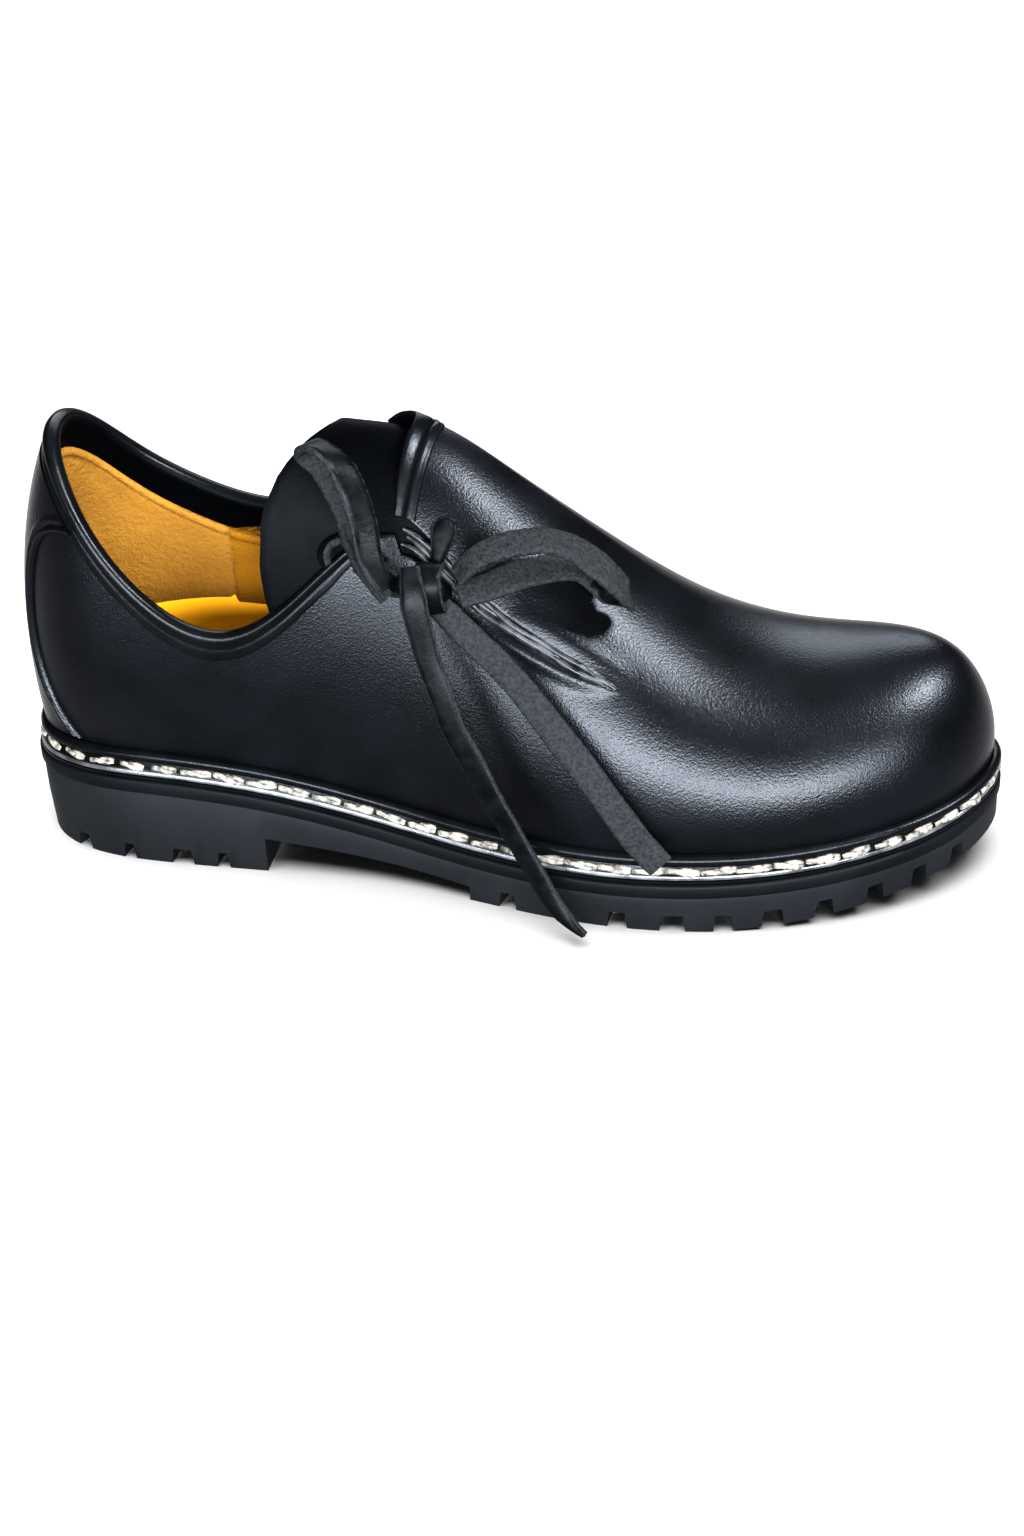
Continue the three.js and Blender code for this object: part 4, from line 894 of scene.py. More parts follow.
# The standing edge sinks by VAMP_SINK where its lift is 0, growing over VAMP_SINK_REACH
VAMP_SINK, VAMP_SINK_START, VAMP_SINK_REACH = 1.2, -1, 5


def make_vamp_trim():
    corner = np.array([FLAP_EDGE])
    start = float(line_up(OUTER, corner)[0] + slit_share(corner)[0])
    end = 2 - float(line_up(INNER, corner)[0])
    place, deep = np.array(VAMP_PROFILE).T
    sinks = np.clip((VAMP_SINK_START - place) / VAMP_SINK_REACH, 0, 1)
    stand, lifted = table_column(VAMP_STAND, 1), np.array(VAMP_LIFT).T
    rings = []
    for share in np.linspace(0, 1, VAMP_STATIONS):
        up = start + (end - start) * share
        across = (up - 1) / (1 - start if up < 1 else end - 1)
        standing = VAMP_FOLD + (place - VAMP_FOLD) * float(stand(across))
        forward = np.where(place < VAMP_FOLD, standing, place)
        depth = deep + (1 - np.interp(across, *lifted)) * VAMP_SINK * sinks
        edge = FLAP_EDGE + VAMP_SETBACK + forward / outline.totals[OUTER]
        rings.append(skin(edge / 2, up, depth))
    faces = loft(rings)
    picks = cap_picks(faces, len(place), LINED_START)
    add_piece("vamp_roll", "black_leather", ("vamp_binding",), rings, faces, TRIM_LEATHERS, picks)


make_vamp_trim()

# Strap up the heel's back: (height share, half width as a share of the half outline)
COUNTER = ((0, 0.12), (0.15, 0.092), (0.35, 0.072), (0.6, 0.07), (0.8, 0.085), (1, 0.125))
counter_half = table_column(COUNTER, 1)
# Height of the strap's face over its distance from its edge, in mm
STRAP_BORDER = (
    (0, 0.45), (0.35, 1.1), (1, 1.45), (1.8, 1.1), (2.3, 0.6), (2.9, 1.15), (3.8, 1.4),
    (5.2, 1.05), (30, 1.05),
)
STRAP_ROWS, STRAP_COLUMNS = 50, 96
STRAP_CROWDING = 1.6  # sets more columns near the strap's edges
STRAP_FOOT_RISE = 9.2
STRAP_TOP_DROP = 6.4
STRAP_BACK = 0.02


def make_heel_strap():
    share = np.linspace(0, 1, STRAP_ROWS + 1)[:, None]
    half = counter_half(share)
    spread = np.linspace(-1, 1, STRAP_COLUMNS + 1)
    spread = np.sign(spread) * (1 - (1 - np.abs(spread)) ** STRAP_CROWDING)
    around = spread * half / 2
    sections = Sections(*sides_of(around))
    low = sections.up_at(sections.base + STRAP_FOOT_RISE)
    line, total = line_over(around)
    up = low + (line - STRAP_TOP_DROP / total - low) * share
    rim = (1 - np.abs(spread)) * half * outline.totals[OUTER]
    face = np.interp(rim, *np.array(STRAP_BORDER).T)
    strap = shell(skin(around, up, -face), skin(around, up, -STRAP_BACK))
    add_piece("heel_strap", "black_leather", ("heel_counter",), *strap, (smooth_leather,))


make_heel_strap()

# Tongue: where its free edge lies, as (place across the crown, share of the half outline)
TONGUE = (
    (-1, 0.305), (-0.8, 0.294), (-0.5, 0.291), (-0.2, 0.308), (0, 0.322), (0.3, 0.325),
    (0.7, 0.31), (1, 0.32),
)
tongue_back = table_column(TONGUE, 1)
TONGUE_FRONT = 0.56
TONGUE_DROPS = (0.56, 0.5)
TONGUE_DEPTH = WALL + 1
TONGUE_THICKNESS = 2.4
TONGUE_ROWS, TONGUE_COLUMNS = 70, 90
TONGUE_CROWDING = 1.3  # sets more rows near the free edge
TONGUE_RAGGED, TONGUE_RAGGED_SPAN = 0.0012, 5
# The free edge is thinner: a share of the thickness, how fast it fills out, and by how much the
# near and the far face draw in
TONGUE_THIN, TONGUE_FILL = 0.62, 18
TONGUE_NEAR, TONGUE_FAR = 0.9, 0.5


def make_tongue():
    chance = np.random.default_rng(21)
    lean = np.linspace(-1, 1, TONGUE_COLUMNS + 1)
    along = np.linspace(0, 1, TONGUE_ROWS + 1)[:, None] ** TONGUE_CROWDING
    window = np.ones(TONGUE_RAGGED_SPAN) / TONGUE_RAGGED_SPAN
    ragged = np.convolve(chance.normal(0, 1, TONGUE_COLUMNS + TONGUE_RAGGED_SPAN), window, "valid")
    back = tongue_back(lean) + ragged * TONGUE_RAGGED
    edge = back + (TONGUE_FRONT - back) * along
    up = 1 - np.abs(lean) * np.where(lean < 0, *TONGUE_DROPS)
    up = np.where(lean <= 0, up, 2 - up)
    thick = np.minimum(1, TONGUE_THIN + along * TONGUE_FILL)
    near = skin(edge / 2, up, TONGUE_DEPTH + (1 - thick) * TONGUE_NEAR)
    far = skin(edge / 2, up, TONGUE_DEPTH + TONGUE_THICKNESS * thick + (1 - thick) * TONGUE_FAR)
    add_piece("tongue_leather", "black_leather", ("tongue",), *shell(near, far), (matt_leather,))


make_tongue()

# Lining: suede under the black facing. The rows are (rise over the edge line, depth)
LINING_EDGE = (
    (-10.8, 3.15), (-10.9, 4), (-11.5, 4.5), (-12.6, 4.6), (-13.4, 4.1), (-13.9, 3.6),
    (-14.5, 3.55), (-15.3, 3.8), (-17, 3.7),
)
LINING_REACH = 0.215
LINING_DEPTH = 3.7
LINING_BACK = WALL + 0.05
LINING_FOOT = 3.0  # how far it runs down behind the footbed's rim
LINING_COLUMNS, LINING_ROWS = 420, 22
# The seam lies across the shoe at LINING_SEAM, where the front piece laps over the back one:
# (height, half width) of the step and (depth, place, half width) of the groove beside it
LINING_SEAM = 55.0
SEAM_STEP = (0.7, 0.3)
SEAM_GROOVE = (0.5, -0.9, 0.6)

# Footbed: (edge, centre, outer rim, inner rim) as shares of its highest rim
FOOTBED_RISE = 31.0
FOOTBED = (
    (0, 0.4, 0.66, 0.7), (0.15, 0.38, 0.68, 0.88), (0.3, 0.36, 0.6, 1), (0.45, 0.32, 0.42, 0.75),
    (0.6, 0.26, 0.3, 0.38), (0.8, 0.24, 0.26, 0.27), (1, 0.22, 0.24, 0.24),
)
footbed_centre = mirrored_column(FOOTBED, 1)
footbed_rims = {OUTER: mirrored_column(FOOTBED, 2), INNER: mirrored_column(FOOTBED, 3)}
FOOTBED_FIRST, FOOTBED_LAST = 0.02, 0.975
FOOTBED_DEPTH = WALL + 0.6
FOOTBED_ROWS, FOOTBED_COLUMNS = 90, 28
DISH_POWER = 2.5


def make_lining():
    around = np.linspace(-LINING_REACH, LINING_REACH, LINING_COLUMNS)
    side, edge = sides_of(around)
    sections = Sections(side, edge)
    line, total = line_over(around)
    rim = by_side(footbed_rims, side, edge) * FOOTBED_RISE
    low = sections.up_at(sections.base + rim - LINING_FOOT)
    rises, depths = np.array(LINING_EDGE).T
    rolled = line + rises[:, None] / total
    down = rolled[-1] + (low - rolled[-1]) * np.arange(1, LINING_ROWS + 1)[:, None] / LINING_ROWS
    ups = np.concatenate((rolled, down))
    depths = np.concatenate((depths, np.full(LINING_ROWS, LINING_DEPTH)))[:, None]
    ahead = skin(around, ups, depths)[..., 0] - LINING_SEAM
    step, step_width = SEAM_STEP
    groove, place, groove_width = SEAM_GROOVE
    lap = step / (1 + np.exp(-ahead / step_width))
    lap = lap - groove * np.exp(-((ahead - place) / groove_width) ** 2)
    points, faces = shell(skin(around, ups, depths + lap), skin(around, ups, LINING_BACK))
    picks = [int(points[list(face), 0].mean() > LINING_SEAM) for face in faces]
    suedes = (suede, yellow_suede)
    add_piece("suede_lining", "footbed_leather", (), points, faces, suedes, picks, sharp=60)


def make_footbed():
    edge = np.linspace(FOOTBED_FIRST, FOOTBED_LAST, FOOTBED_ROWS + 1)
    t = np.linspace(0, 1, FOOTBED_COLUMNS + 1)[None, :, None]

    def between(rises):
        """Level grid from the outer side to the inner side, at a rise for each."""
        outer, inner = (wall_point(side, edge, rises[side], -FOOTBED_DEPTH) for side in (OUTER, INNER))
        return outer[:, None] * (1 - t) + inner[:, None] * t

    bottom = between({OUTER: 0, INNER: 0})
    top = between({side: rims(edge) * FOOTBED_RISE for side, rims in footbed_rims.items()})
    dish = 1 - np.abs(2 * t[..., 0] - 1) ** DISH_POWER
    middle = stack_top(top[..., 0]) + GAP + footbed_centre(edge)[:, None] * FOOTBED_RISE
    top[..., 2] += (middle - top[..., 2]) * dish
    bottom[..., 2] = stack_top(bottom[..., 0]) + 2 * GAP
    bed = shell(top, bottom)
    add_piece("footbed", "footbed_leather", ("insole",), *bed, (footbed_yellow,), sharp=60)


make_lining()
make_footbed()

# Layers of folded leather that show in the slit: (mm across it, depth, start, end, half width)
SLIT_LAYERS = (
    (-1.7, 0.1, 0.0, 0.97, 1.05), (-0.1, 0.7, 0.02, 1.0, 0.95), (1.4, 0.1, 0.0, 0.9, 0.95),
)
LAYER_STATIONS = 110
LAYER_HALF_HEIGHT = 1.3
LAYER_RAGGED = 0.05
# Waves along a layer: (height, waves, how much each layer is out of step with the one before)
SIDE_WAVES = ((0.3, 13, 2), (0.15, 29, 1))
DEPTH_WAVES = ((0.4, 21, 3),)
LAYER_SPREAD = (0.25, 1.4)  # least and most that the layers follow the slit's width
BEAD_SIDES = 10
BEAD_END, BEAD_FILL = 0.25, 14


def waves(table, share, number):
    return sum(height * np.sin(share * count + number * lag) for height, count, lag in table)


def bead(path, across_way, lift_way, half_width, half_height):
    """Rounded strip along a path, thinner towards its ends."""
    share = np.linspace(0, 1, len(path))
    full = np.clip(np.minimum(share, 1 - share) * BEAD_FILL, BEAD_END, 1) ** 0.5
    turn = np.linspace(0, 2 * math.pi, BEAD_SIDES, endpoint=False)[None, :, None]
    a = np.cos(turn) * np.reshape(half_width * full, (-1, 1, 1))
    b = np.sin(turn) * np.reshape(half_height * full, (-1, 1, 1))
    return path[:, None] + across_way[:, None] * a + lift_way[:, None] * b


def make_slit_layers():
    chance = np.random.default_rng(31)
    for number, (across, depth, start, end, half) in enumerate(SLIT_LAYERS):
        share = np.linspace(start, end, LAYER_STATIONS)
        edge = FLAP_EDGE + (SLIT_END - FLAP_EDGE) * share
        total = Sections(OUTER, edge).total
        opened = np.clip(slit_share(edge) * total / SLIT_WIDTH, *LAYER_SPREAD)
        up = line_up(OUTER, edge) + (across * opened + waves(SIDE_WAVES, share, number)) / total
        path = skin(edge / 2, up, depth + waves(DEPTH_WAVES, share, number))
        normal = skin_normal(edge / 2, up)
        across_way = unit(np.cross(normal, unit(np.gradient(path, axis=0))))
        width = half * (1 + LAYER_RAGGED * chance.normal(0, 1, len(path)))
        rings = bead(path, across_way, normal, width, LAYER_HALF_HEIGHT)
        name = f"slit_layer_{number + 1}"
        add_piece(name, "black_leather", (), rings, loft(rings), (worn_edge,), sharp=60)


make_slit_layers()

# Welt: two thin layers at the sole's edge, a stitched slope and a bead against the upper.
# The rows are (kind, first, second): "lip" is (inset, rise), "wall" is (clearance, rise), and
# "slope" is a share of the way from the lip's top to the bead's foot with a lift.
WELT_PROFILE = (
    ("lip", 0.7, 0), ("lip", 0.35, 0.25), ("lip", 0.35, 0.95), ("lip", 0.95, 1.15),
    ("lip", 0.5, 1.4), ("lip", 0.5, 2.1), ("lip", 0.85, 2.5), ("slope", 0.1, 0),
    ("slope", 0.4, -0.15), ("slope", 0.75, -0.1), ("slope", 1, 0), ("wall", 2.6, 5.5),
    ("wall", 3, 6.3), ("wall", 2.8, 7.2), ("wall", 2.1, 7.95), ("wall", 1.1, 8.35),
    ("wall", 0.3, 8.2), ("wall", 0.3, 4), ("wall", 0.3, 0),
)
# The profile's faces that take the welt edge finish, whose lighter tone is a painted highlight line
PAINTED_HIGHLIGHT_ROWS = (4, 5)
WELT_STATIONS = 230
LIP_OFFSET = 0.35  # the profile's insets are counted from here
SLOPE_START_INSET, SLOPE_START_RISE = 0.95, 2.6
SLOPE_FOOT_CLEARANCE, SLOPE_FOOT_RISE = 2.1, 4.9


def lip_point(side, edge, inset, rise):
    """Point over the sole's edge, at a height above the midsole."""
    flat = outline.point(side, edge, inset)
    return at_height(flat, stack_top(flat[:, 0]) + GAP + rise)


def welt_line(side, edge):
    """Where the stitched slope starts and ends."""
    start = lip_point(side, edge, SLOPE_START_INSET, SLOPE_START_RISE)
    return start, wall_point(side, edge, SLOPE_FOOT_RISE, SLOPE_FOOT_CLEARANCE)


def ring_stations(count):
    """Both halves' stations in one ring."""
    edge = np.linspace(0, 1, count + 1)
    return ((OUTER, edge), (INNER, edge[-2:0:-1]))


def welt_points(side, edge):
    start, foot = welt_line(side, edge)
    columns = []
    for kind, first, second in WELT_PROFILE:
        if kind == "lip":
            columns.append(lip_point(side, edge, WELT_INSET + first - LIP_OFFSET, second))
        elif kind == "slope":
            columns.append(start + (foot - start) * first + (0, 0, second))
        else:
            columns.append(wall_point(side, edge, second, first))
    return np.stack(columns, 1)


def make_welt():
    rings = np.concatenate([welt_points(*stations) for stations in ring_stations(WELT_STATIONS)])
    faces = loft(rings, looped=True)
    picks = [int(face[0] % len(WELT_PROFILE) in PAINTED_HIGHLIGHT_ROWS) for face in faces]
    leathers = (rolled_leather, welt_edge_painted_highlight)
    add_piece("welt_strip", "black_leather", ("welt",), rings, faces, leathers, picks, sharp=45)


make_welt()

# Stitches on the welt, laid by a node tree along a line of marked points
STITCH_PITCH = 9.6
STITCH_LENGTH = 9.1
STITCH_LIFT = 0.3
STITCH_STATIONS = 400
# Place of the stitches over the slope, further in round the heel, and their size there
STITCH_INWARD, STITCH_HEEL_INWARD = 0.5, 0.28
STITCH_HEEL_SIZE = 0.72

# One stitch: its plies' half width and half height, how far they swing sideways and up, the
# turns' start and sweep, how deep its ends dive, and how blunt it is
PLY_WIDTH, PLY_HEIGHT = 0.86, 0.68
PLY_SWING, PLY_RISE = 0.7, 0.3
PLY_START, PLY_SWEEP = 0.9, 2.2
STITCH_DIVE = 0.62
STITCH_BLUNT, STITCH_TIP = 0.28, 0.04
PLY_STATIONS, PLY_SIDES = 13, 8


def stitch_line():
    """Places of the stitches, with the way each runs, the way it faces and its size."""
    parts = [welt_line(side, edge) for side, edge in ring_stations(STITCH_STATIONS)]
    start, foot = (np.concatenate(points) for points in zip(*parts))
    inward = STITCH_INWARD + STITCH_HEEL_INWARD * np.clip(1 - start[:, :1] / HEEL_CENTRE, 0, 1)
    middle = start + (foot - start) * inward
    travel = travelled(middle)
    count = int(travel[-1] / STITCH_PITCH)
    at = (np.arange(count) + 0.5) * travel[-1] / count

    def along(values):
        return np.array([np.interp(at, travel, values[:, k]) for k in range(3)]).T

    run = unit(along(np.gradient(middle, axis=0)))
    slope = unit(along(foot - start))
    face = unit(np.cross(slope, run))
    face *= np.sign(face[:, 2:3])
    places = along(middle) + face * STITCH_LIFT
    forward = np.clip(places[:, 0] / HEEL_TREAD_END, 0, 1)
    return places, run, face, STITCH_HEEL_SIZE + (1 - STITCH_HEEL_SIZE) * forward


def make_stitch():
    """One waxed stitch: two twisted plies that dive into the leather at both ends."""
    share = np.linspace(0, 1, PLY_STATIONS)
    slim = np.sin(math.pi * np.clip(share, STITCH_TIP, 1 - STITCH_TIP)) ** STITCH_BLUNT
    dive = STITCH_DIVE * np.sin(math.pi * share) ** 0.5 - STITCH_DIVE
    round_ply = np.linspace(0, 2 * math.pi, PLY_SIDES, endpoint=False)
    points, faces = [], []
    for ply in (0, math.pi):
        turn = ply + PLY_START + share * PLY_SWEEP
        x = (share - 0.5) * STITCH_LENGTH + HEEL_CENTRE
        y = PLY_SWING * np.cos(turn) * slim
        z = dive + PLY_RISE * np.sin(turn) * slim
        rings = [
            [(x[i], y[i] + PLY_WIDTH * slim[i] * math.cos(around),
              z[i] + PLY_HEIGHT * slim[i] * math.sin(around)) for around in round_ply]
            for i in range(len(share))
        ]
        faces += [tuple(corner + len(points) for corner in face) for face in loft(rings)]
        points += [point for ring in rings for point in ring]
    return make_object("stitch_pattern", points, faces, (waxed_thread,), sharp=80)


STITCH_SOCKETS = (
    ("Geometry", "NodeSocketGeometry", "INPUT"), ("Stitch", "NodeSocketObject", "INPUT"),
    ("Thread", "NodeSocketMaterial", "INPUT"), ("Shortest", "NodeSocketFloat", "INPUT"),
    ("Longest", "NodeSocketFloat", "INPUT"), ("Tilt", "NodeSocketFloat", "INPUT"),
    ("Stitches", "NodeSocketGeometry", "OUTPUT"),
)
STITCH_THICKNESS = (0.85, 1.2)


def stitch_tree():
    """Lays the stitch on each point, turned by its "run" and "face" and sized by its "fit"."""
    tree = bpy.data.node_groups.new("welt_stitching", "GeometryNodeTree")
    sockets = {
        label: tree.interface.new_socket(label, in_out=way, socket_type=kind).identifier
        for label, kind, way in STITCH_SOCKETS
    }
    given = add_node(tree, "NodeGroupInput").outputs

    def marked(label, kind):
        return add_node(
            tree, "GeometryNodeInputNamedAttribute", (("Name", label),), data_type=kind
        ).outputs["Attribute"]

    def chosen(seed, least, most):
        """Random value between two: by place, as the node has such sockets for each data type."""
        return add_node(
            tree, "FunctionNodeRandomValue", ((2, least), (3, most), ("Seed", seed)), data_type="FLOAT"
        ).outputs[1]

    stitch = add_node(tree, "GeometryNodeObjectInfo", (("Object", given["Stitch"]),))
    along = add_node(
        tree, "FunctionNodeAlignRotationToVector", (("Vector", marked("run", "FLOAT_VECTOR")),),
        axis="X")
    facing = add_node(
        tree, "FunctionNodeAlignRotationToVector",
        (("Rotation", along.outputs["Rotation"]), ("Vector", marked("face", "FLOAT_VECTOR"))),
        axis="Z", pivot_axis="X")
    negative = add_node(tree, "ShaderNodeMath", ((0, given["Tilt"]), (1, -1)), operation="MULTIPLY")
    sway = chosen(7, negative.outputs[0], given["Tilt"])
    twist = add_node(tree, "ShaderNodeCombineXYZ", (("Z", sway),))
    tilted = add_node(
        tree, "FunctionNodeRotateRotation",
        (("Rotation", facing.outputs["Rotation"]), ("Rotate By", twist.outputs["Vector"])),
        rotation_space="LOCAL")
    thick = chosen(5, *STITCH_THICKNESS)
    size = add_node(tree, "ShaderNodeCombineXYZ", (
        ("X", chosen(3, given["Shortest"], given["Longest"])), ("Y", thick), ("Z", thick)))
    fitted = add_node(
        tree, "ShaderNodeVectorMath",
        ((0, size.outputs["Vector"]), ("Scale", marked("fit", "FLOAT"))), operation="SCALE")
    laid = add_node(tree, "GeometryNodeInstanceOnPoints", (
        ("Points", given["Geometry"]), ("Instance", stitch.outputs["Geometry"]),
        ("Rotation", tilted.outputs["Rotation"]), ("Scale", fitted.outputs["Vector"])))
    real = add_node(tree, "GeometryNodeRealizeInstances", (("Geometry", laid.outputs["Instances"]),))
    paint = add_node(tree, "GeometryNodeSetMaterial", (
        ("Geometry", real.outputs["Geometry"]), ("Material", given["Thread"])))
    add_node(tree, "NodeGroupOutput", (("Stitches", paint.outputs["Geometry"]),))
    return tree, sockets


def make_stitches():
    places, run, face, fit = stitch_line()
    mesh = bpy.data.meshes.new("welt_stitches")
    mesh.from_pydata(to_frame(places).tolist(), [], [])
    for label, values in (("run", run), ("face", face)):
        mesh.attributes.new(label, "FLOAT_VECTOR", "POINT").data.foreach_set("vector", values.ravel())
    mesh.attributes.new("fit", "FLOAT", "POINT").data.foreach_set("value", fit)
    piece = add_object("welt_stitches", mesh)
    pattern = make_stitch()
    tree, sockets = stitch_tree()
    laid = piece.modifiers.new("stitching", "NODES")
    laid.node_group = tree
    given = {"Stitch": pattern, "Thread": waxed_thread, "Shortest": 0.9, "Longest": 1.1, "Tilt": 0.13}
    for label, value in given.items():
        laid[sockets[label]] = value
    make_plain(piece, sharp=80)
    bpy.data.objects.remove(pattern)
    settle(piece, "lace_leather")


make_stitches()

# Sole

# Profile of the midsole's edge: (inset, share of its height)
MIDSOLE_PROFILE = ((1, 0), (0.2, 0.03), (0, 0.12), (0, 0.5), (0, 0.82), (0.25, 0.95), (0.9, 1))
MIDSOLE_STATIONS = 200


def ruled_caps(size, rings):
    """Faces across the first and the last ring, from the outer half to the inner half."""
    faces = []
    for ring, flip in ((0, True), (rings - 1, False)):
        for i in range(size // 2):
            corners = [ring * size + k % size for k in (i, i + 1, size - i - 1, size - i)]
            corners = list(dict.fromkeys(corners))
            if len(corners) > 2:
                faces.append(corners[::-1] if flip else corners)
    return faces


def make_midsole():
    rings = []
    for inset, share in MIDSOLE_PROFILE:
        flat = np.concatenate(
            [outline.point(side, edge, inset) for side, edge in ring_stations(MIDSOLE_STATIONS)])
        rings.append(at_height(flat, stack_top(flat[:, 0]) - MIDSOLE_THICKNESS * (1 - share)))
    faces = loft(rings)[:-2] + ruled_caps(len(rings[0]), len(rings))
    add_piece("midsole_layer", "sole_rubber", ("midsole",), rings, faces, (midsole_rubber,))


make_midsole()

# Notches in the sole's edge: (share of its length, width). Grooves across the tread: (share of
# its length, half length as a share of the ball's width)
NOTCHES = (
    (0.06, 4), (0.115, 2.6), (0.174, 5.4), (0.218, 2.6), (0.521, 4), (0.58, 3.4), (0.634, 4.4),
    (0.689, 6), (0.739, 4.2), (0.787, 5), (0.836, 4.4), (0.884, 4.2), (0.926, 4), (0.962, 4),
)
GROOVES = (
    (0.05, 0.34), (0.19, 0.4), (0.54, 0.38), (0.6, 0.46), (0.66, 0.5), (0.72, 0.5), (0.78, 0.46),
    (0.84, 0.4), (0.9, 0.28),
)
NOTCH_HEIGHT = 5.0
NOTCH_REACH = 11.0
NOTCH_FLARE = 0.7
GROOVE_DEPTH = 3.0
GROOVE_WIDTH = 4.0
BREAST_HEIGHT = 11.0
BREAST_LEAN = 3.6
BREAST_REACH = 1.5  # from the heel tread's end to the breast's row
TREAD_STEP = 4.5
HEEL_TAPER = 1.2
HEEL_TAPER_END = 0.3
ROW_STEP = 3.2
HEEL_EDGE_MIDDLE, FORE_EDGE_MIDDLE = 0.55, 0.82


def sole_rows():
    """Rows across the sole as (outer edge, inner edge, kind of the cell ahead, flare)."""
    marks = [((0.0, 0.0), "tread", 0)]
    stops = [(along * SOLE_LENGTH, width) for along, width in NOTCHES]
    stops += [(HEEL_TREAD_END + BREAST_REACH, 0), (FORE_TREAD_START, 0)]
    for x, width in sorted(stops):
        middle = [outline.edge_at(side, x) for side in (OUTER, INNER)]
        half = [width / 2 / outline.totals[side] for side in (OUTER, INNER)]
        if width:
            marks.append((tuple(m - h for m, h in zip(middle, half)), "notch", -NOTCH_FLARE))
            marks.append((tuple(m + h for m, h in zip(middle, half)), "tread", NOTCH_FLARE))
        else:
            marks.append((tuple(middle), "waist" if x < FORE_TREAD_START else "tread", 0))
    marks.append(((1.0, 1.0), "tread", 0))
    rows = []
    for (start, kind, flare), (end, _, _) in zip(marks, marks[1:]):
        steps = max(1, int((end[0] - start[0]) * outline.totals[OUTER] / ROW_STEP))
        for k in range(steps):
            edges = tuple(a + (b - a) * (k / steps) for a, b in zip(start, end))
            rows.append((edges, kind, flare if k == 0 else 0))
    rows.append((marks[-1][0], "tread", 0))
    return rows


def make_outsole():
    rows = sole_rows()
    points, numbers, faces = [], {}, []

    def level(row, kind):
        x = outline.point(OUTER, rows[row][0][0])[0]
        bottom = float(tread_bottom(x))
        roof = float(stack_top(x)) - MIDSOLE_THICKNESS - GAP
        waist_end = FORE_TREAD_START - 1
        waist_start = HEEL_TREAD_END + BREAST_LEAN
        waist_drop = (x - waist_start) * (TREAD_STEP - BREAST_HEIGHT)
        middle = HEEL_EDGE_MIDDLE if x < HEEL_TREAD_END else FORE_EDGE_MIDDLE
        heights = {
            "tread": bottom,
            "notch": bottom + NOTCH_HEIGHT,
            "waist": BREAST_HEIGHT + waist_drop / (waist_end - waist_start),
            "middle": bottom + (roof - bottom) * middle,
            "roof": roof,
        }
        return heights[kind]

    def corner(row, column, kind):
        key = (row, column, kind)
        if key not in numbers:
            side = OUTER if column < 2 else INNER
            edge, flare = rows[row][0][0 if side == OUTER else 1], rows[row][2]
            if kind == "tread":
                edge += flare / outline.totals[side]
            z = level(row, kind)
            bottom, roof = level(row, "tread"), level(row, "roof")
            rim = outline.point(side, edge)
            taper = HEEL_TAPER * math.sqrt(max(0, 1 - rim[0] / (SOLE_LENGTH * HEEL_TAPER_END)))
            drawn = taper * (1 - (z - bottom) / (roof - bottom)) ** 2
            inset = NOTCH_REACH if column in (1, 2) else MIDSOLE_PROUD + drawn
            numbers[key] = len(points)
            points.append((*outline.point(side, edge, inset), z))
        return numbers[key]

    def used(row, column):
        """Kinds of level that meet at a corner of the grid, from the lowest up."""
        near = {rows[r][1] for r in (row - 1, row) if 0 <= r < len(rows) - 1}
        if column in (1, 2):
            near |= {"tread" if kind == "notch" else kind for kind in near}
        return sorted(near, key=lambda kind: level(row, kind))

    def post(row, column, low, high):
        """Corners above one place of the grid, from one level up to another."""
        bottom, top = level(row, low), level(row, high)
        between = [kind for kind in used(row, column) if bottom < level(row, kind) < top]
        return [corner(row, column, kind) for kind in [low] + between + [high]]

    def wall(row_a, column_a, row_b, column_b, low, high):
        """Upright face between two corners of the grid, from one level to another."""
        up = post(row_a, column_a, low, high)
        down = post(row_b, column_b, low, high)[::-1]
        faces.append(tuple(dict.fromkeys(up + down)))

    def cell(row, first, second, kind):
        """Level face between two rows and two columns."""
        places = ((row, first), (row, second), (row + 1, second), (row + 1, first))
        faces.append(tuple(corner(r, c, kind) for r, c in places))

    last = len(rows) - 1
    for i in range(last):
        kind = rows[i][1]
        for column, level_kind in ((0, kind), (1, "tread" if kind == "notch" else kind), (2, kind)):
            cell(i, column, column + 1, level_kind)
        for rim, deep in ((0, 1), (3, 2)):
            wall(i, rim, i + 1, rim, kind, "middle")
            wall(i, rim, i + 1, rim, "middle", "roof")
            if kind == "notch":
                wall(i, deep, i + 1, deep, "tread", "notch")
        cell(i, 0, 3, "roof")
    for i in range(1, last):
        before, after = rows[i - 1][1], rows[i][1]
        if before != after:
            low, high = sorted((before, after), key=lambda kind: level(i, kind))
            wall(i, 0, i, 1, low, high)
            wall(i, 2, i, 3, low, high)
            if "waist" in (before, after):
                wall(i, 1, i, 2, low, high)
    piece = make_object("outsole_block", points, faces, (sole_rubber,), merged=True)
    add_bevel(piece, 0.45, angle=35)
    cutters = []
    box = [(0, 1, 3, 2), (4, 6, 7, 5), (0, 4, 5, 1), (2, 3, 7, 6), (0, 2, 6, 4), (1, 5, 7, 3)]
    for along, width in GROOVES:
        middle = np.array((along * SOLE_LENGTH, 0, float(tread_bottom(along * SOLE_LENGTH))))
        half = (GROOVE_WIDTH / 2, width * BALL_WIDTH / 2, GROOVE_DEPTH)
        corners = [middle + np.multiply(signs, half) for signs in itertools.product((-1, 1), repeat=3)]
        cutter = make_object("groove_cutter", corners, box, (sole_rubber,))
        cut = piece.modifiers.new("groove", "BOOLEAN")
        cut.object, cut.operation, cut.solver = cutter, "DIFFERENCE", "EXACT"
        cutters.append(cutter)
    make_plain(piece, sharp=42)
    for cutter in cutters:
        bpy.data.objects.remove(cutter)
    settle(piece, "sole_rubber", "outsole")


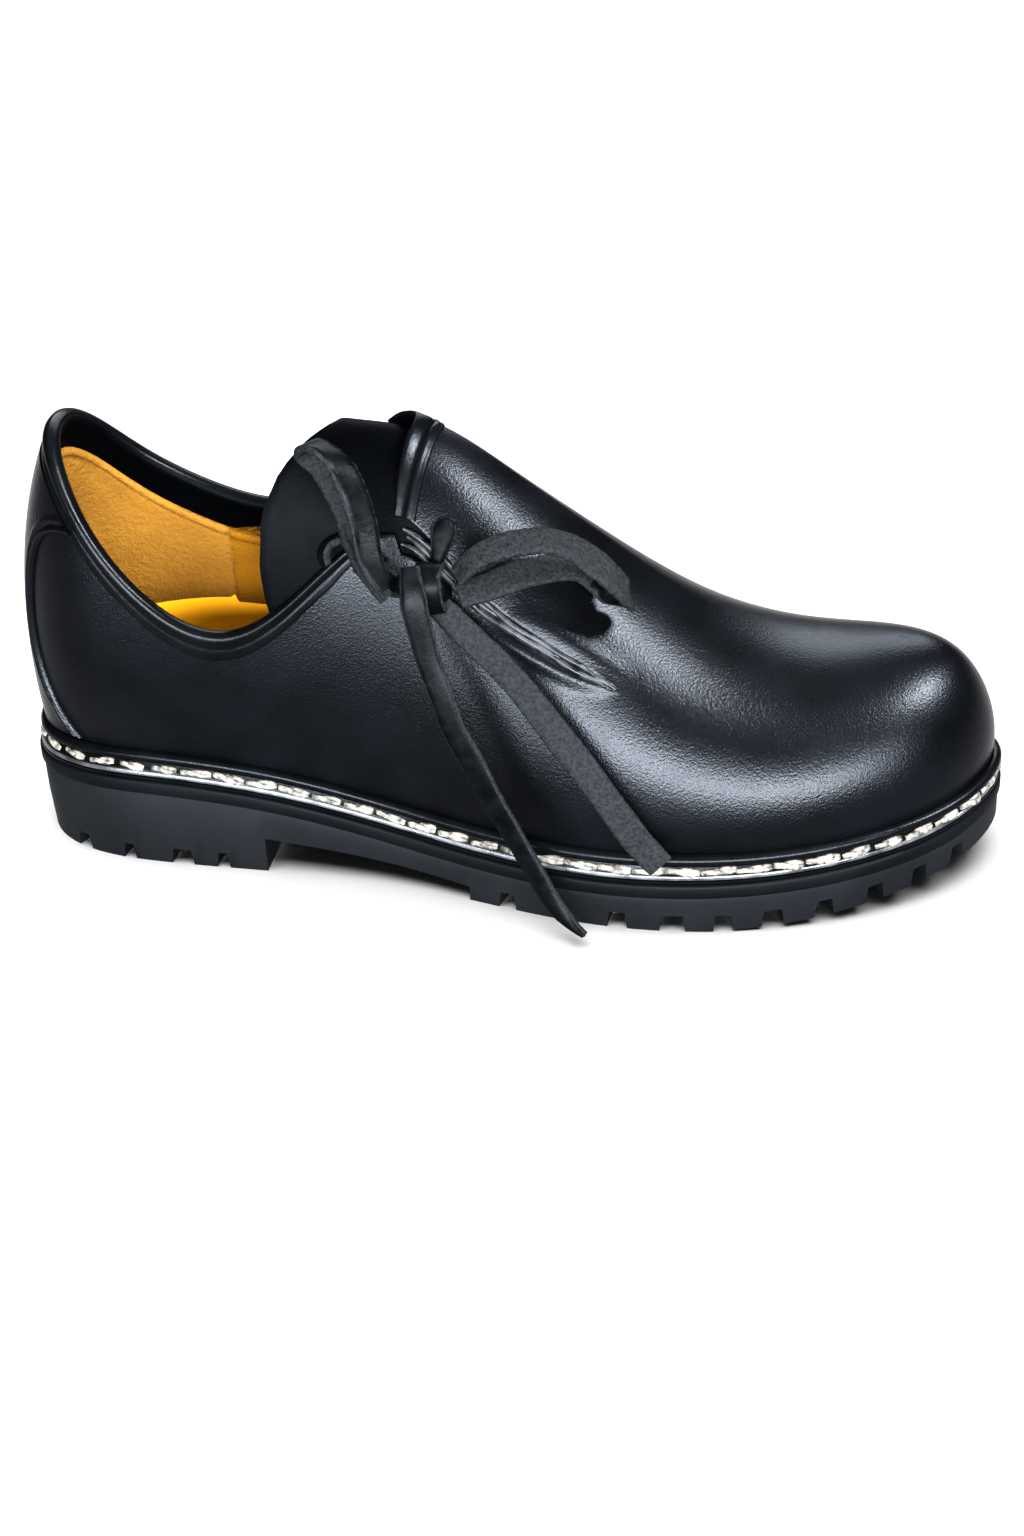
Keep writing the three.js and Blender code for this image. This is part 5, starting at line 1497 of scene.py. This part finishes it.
make_outsole()


# Light and floor

LIT_POINT = (0.11, -0.01, 0.05)
FLOOR_SIZE = 4.0
SKY, SKY_STRENGTH = (0.95, 0.97, 1, 1), 0.06
WHITE, COOL = (1, 1, 1), (0.85, 0.92, 1)

# Softboxes towards the shoe's middle: (name, azimuth from the outer side to the toe, elevation,
# distance, size, radiance, colour). All but the first spare the floor; the first lights only it.
SOFTBOXES = (
    ("sheet", 0, 89.9, 2.2, (3.2, 3.2), 4.2, WHITE),
    ("top", 0, 89.9, 2.2, (2.4, 2.4), 2.2, WHITE),
    ("front", 11, 20, 1.3, (1.55, 0.22), 300, WHITE),
    ("front_low", -26, 4, 1.3, (0.45, 0.14), 150, WHITE),
    ("right", 84, 48, 1.3, (0.24, 0.22), 670, WHITE),
    ("back", 186, 34, 1.6, (1.2, 0.6), 15, COOL),
)


def area_light(name, azimuth, elevation, distance, size, radiance, colour, receivers):
    data = bpy.data.lights.new(name, "AREA")
    data.shape = "RECTANGLE"
    data.size, data.size_y = size
    data.energy = radiance * math.pi * size[0] * size[1]
    data.color = colour
    light = add_object(name, data)
    turn, rise = math.radians(azimuth), math.radians(elevation)
    way = Vector((math.sin(turn) * math.cos(rise), -math.cos(turn) * math.cos(rise), math.sin(rise)))
    place = Matrix.Translation(Vector(LIT_POINT) + way * distance)
    light.matrix_world = place @ way.to_track_quat("Z", "Y").to_matrix().to_4x4()
    light.light_linking.receiver_collection = receivers


def linked(name, floor):
    """Collection that lights are linked to, with the floor in it."""
    group = bpy.data.collections.new(name)
    group.objects.link(floor)
    return group


def make_stage():
    mesh = bpy.data.meshes.new("floor")
    corners = [(x * FLOOR_SIZE, y * FLOOR_SIZE, 0) for x, y in ((-1, -1), (1, -1), (1, 1), (-1, 1))]
    mesh.from_pydata(corners, [], [(0, 1, 2, 3)])
    mesh.materials.append(make_finish(
        "floor_paper", ((0.86, 0.86, 0.86), (0.88, 0.88, 0.88)), 2, (0.8, 0.9), (), specular=0.1))
    floor = add_object("floor", mesh)
    world = bpy.data.worlds.new("studio")
    world.use_nodes = True
    sky = world.node_tree.nodes["Background"]
    sky.inputs["Color"].default_value = SKY
    sky.inputs["Strength"].default_value = SKY_STRENGTH
    scene = bpy.context.scene
    scene.world = world
    scene.view_settings.view_transform = "Standard"
    scene.view_settings.look = "Medium High Contrast"
    floor_only, floor_spared = linked("floor_only", floor), linked("floor_spared", floor)
    floor_spared.collection_objects[0].light_linking.link_state = "EXCLUDE"
    for box in SOFTBOXES:
        area_light(*box, floor_only if box[0] == "sheet" else floor_spared)


make_stage()
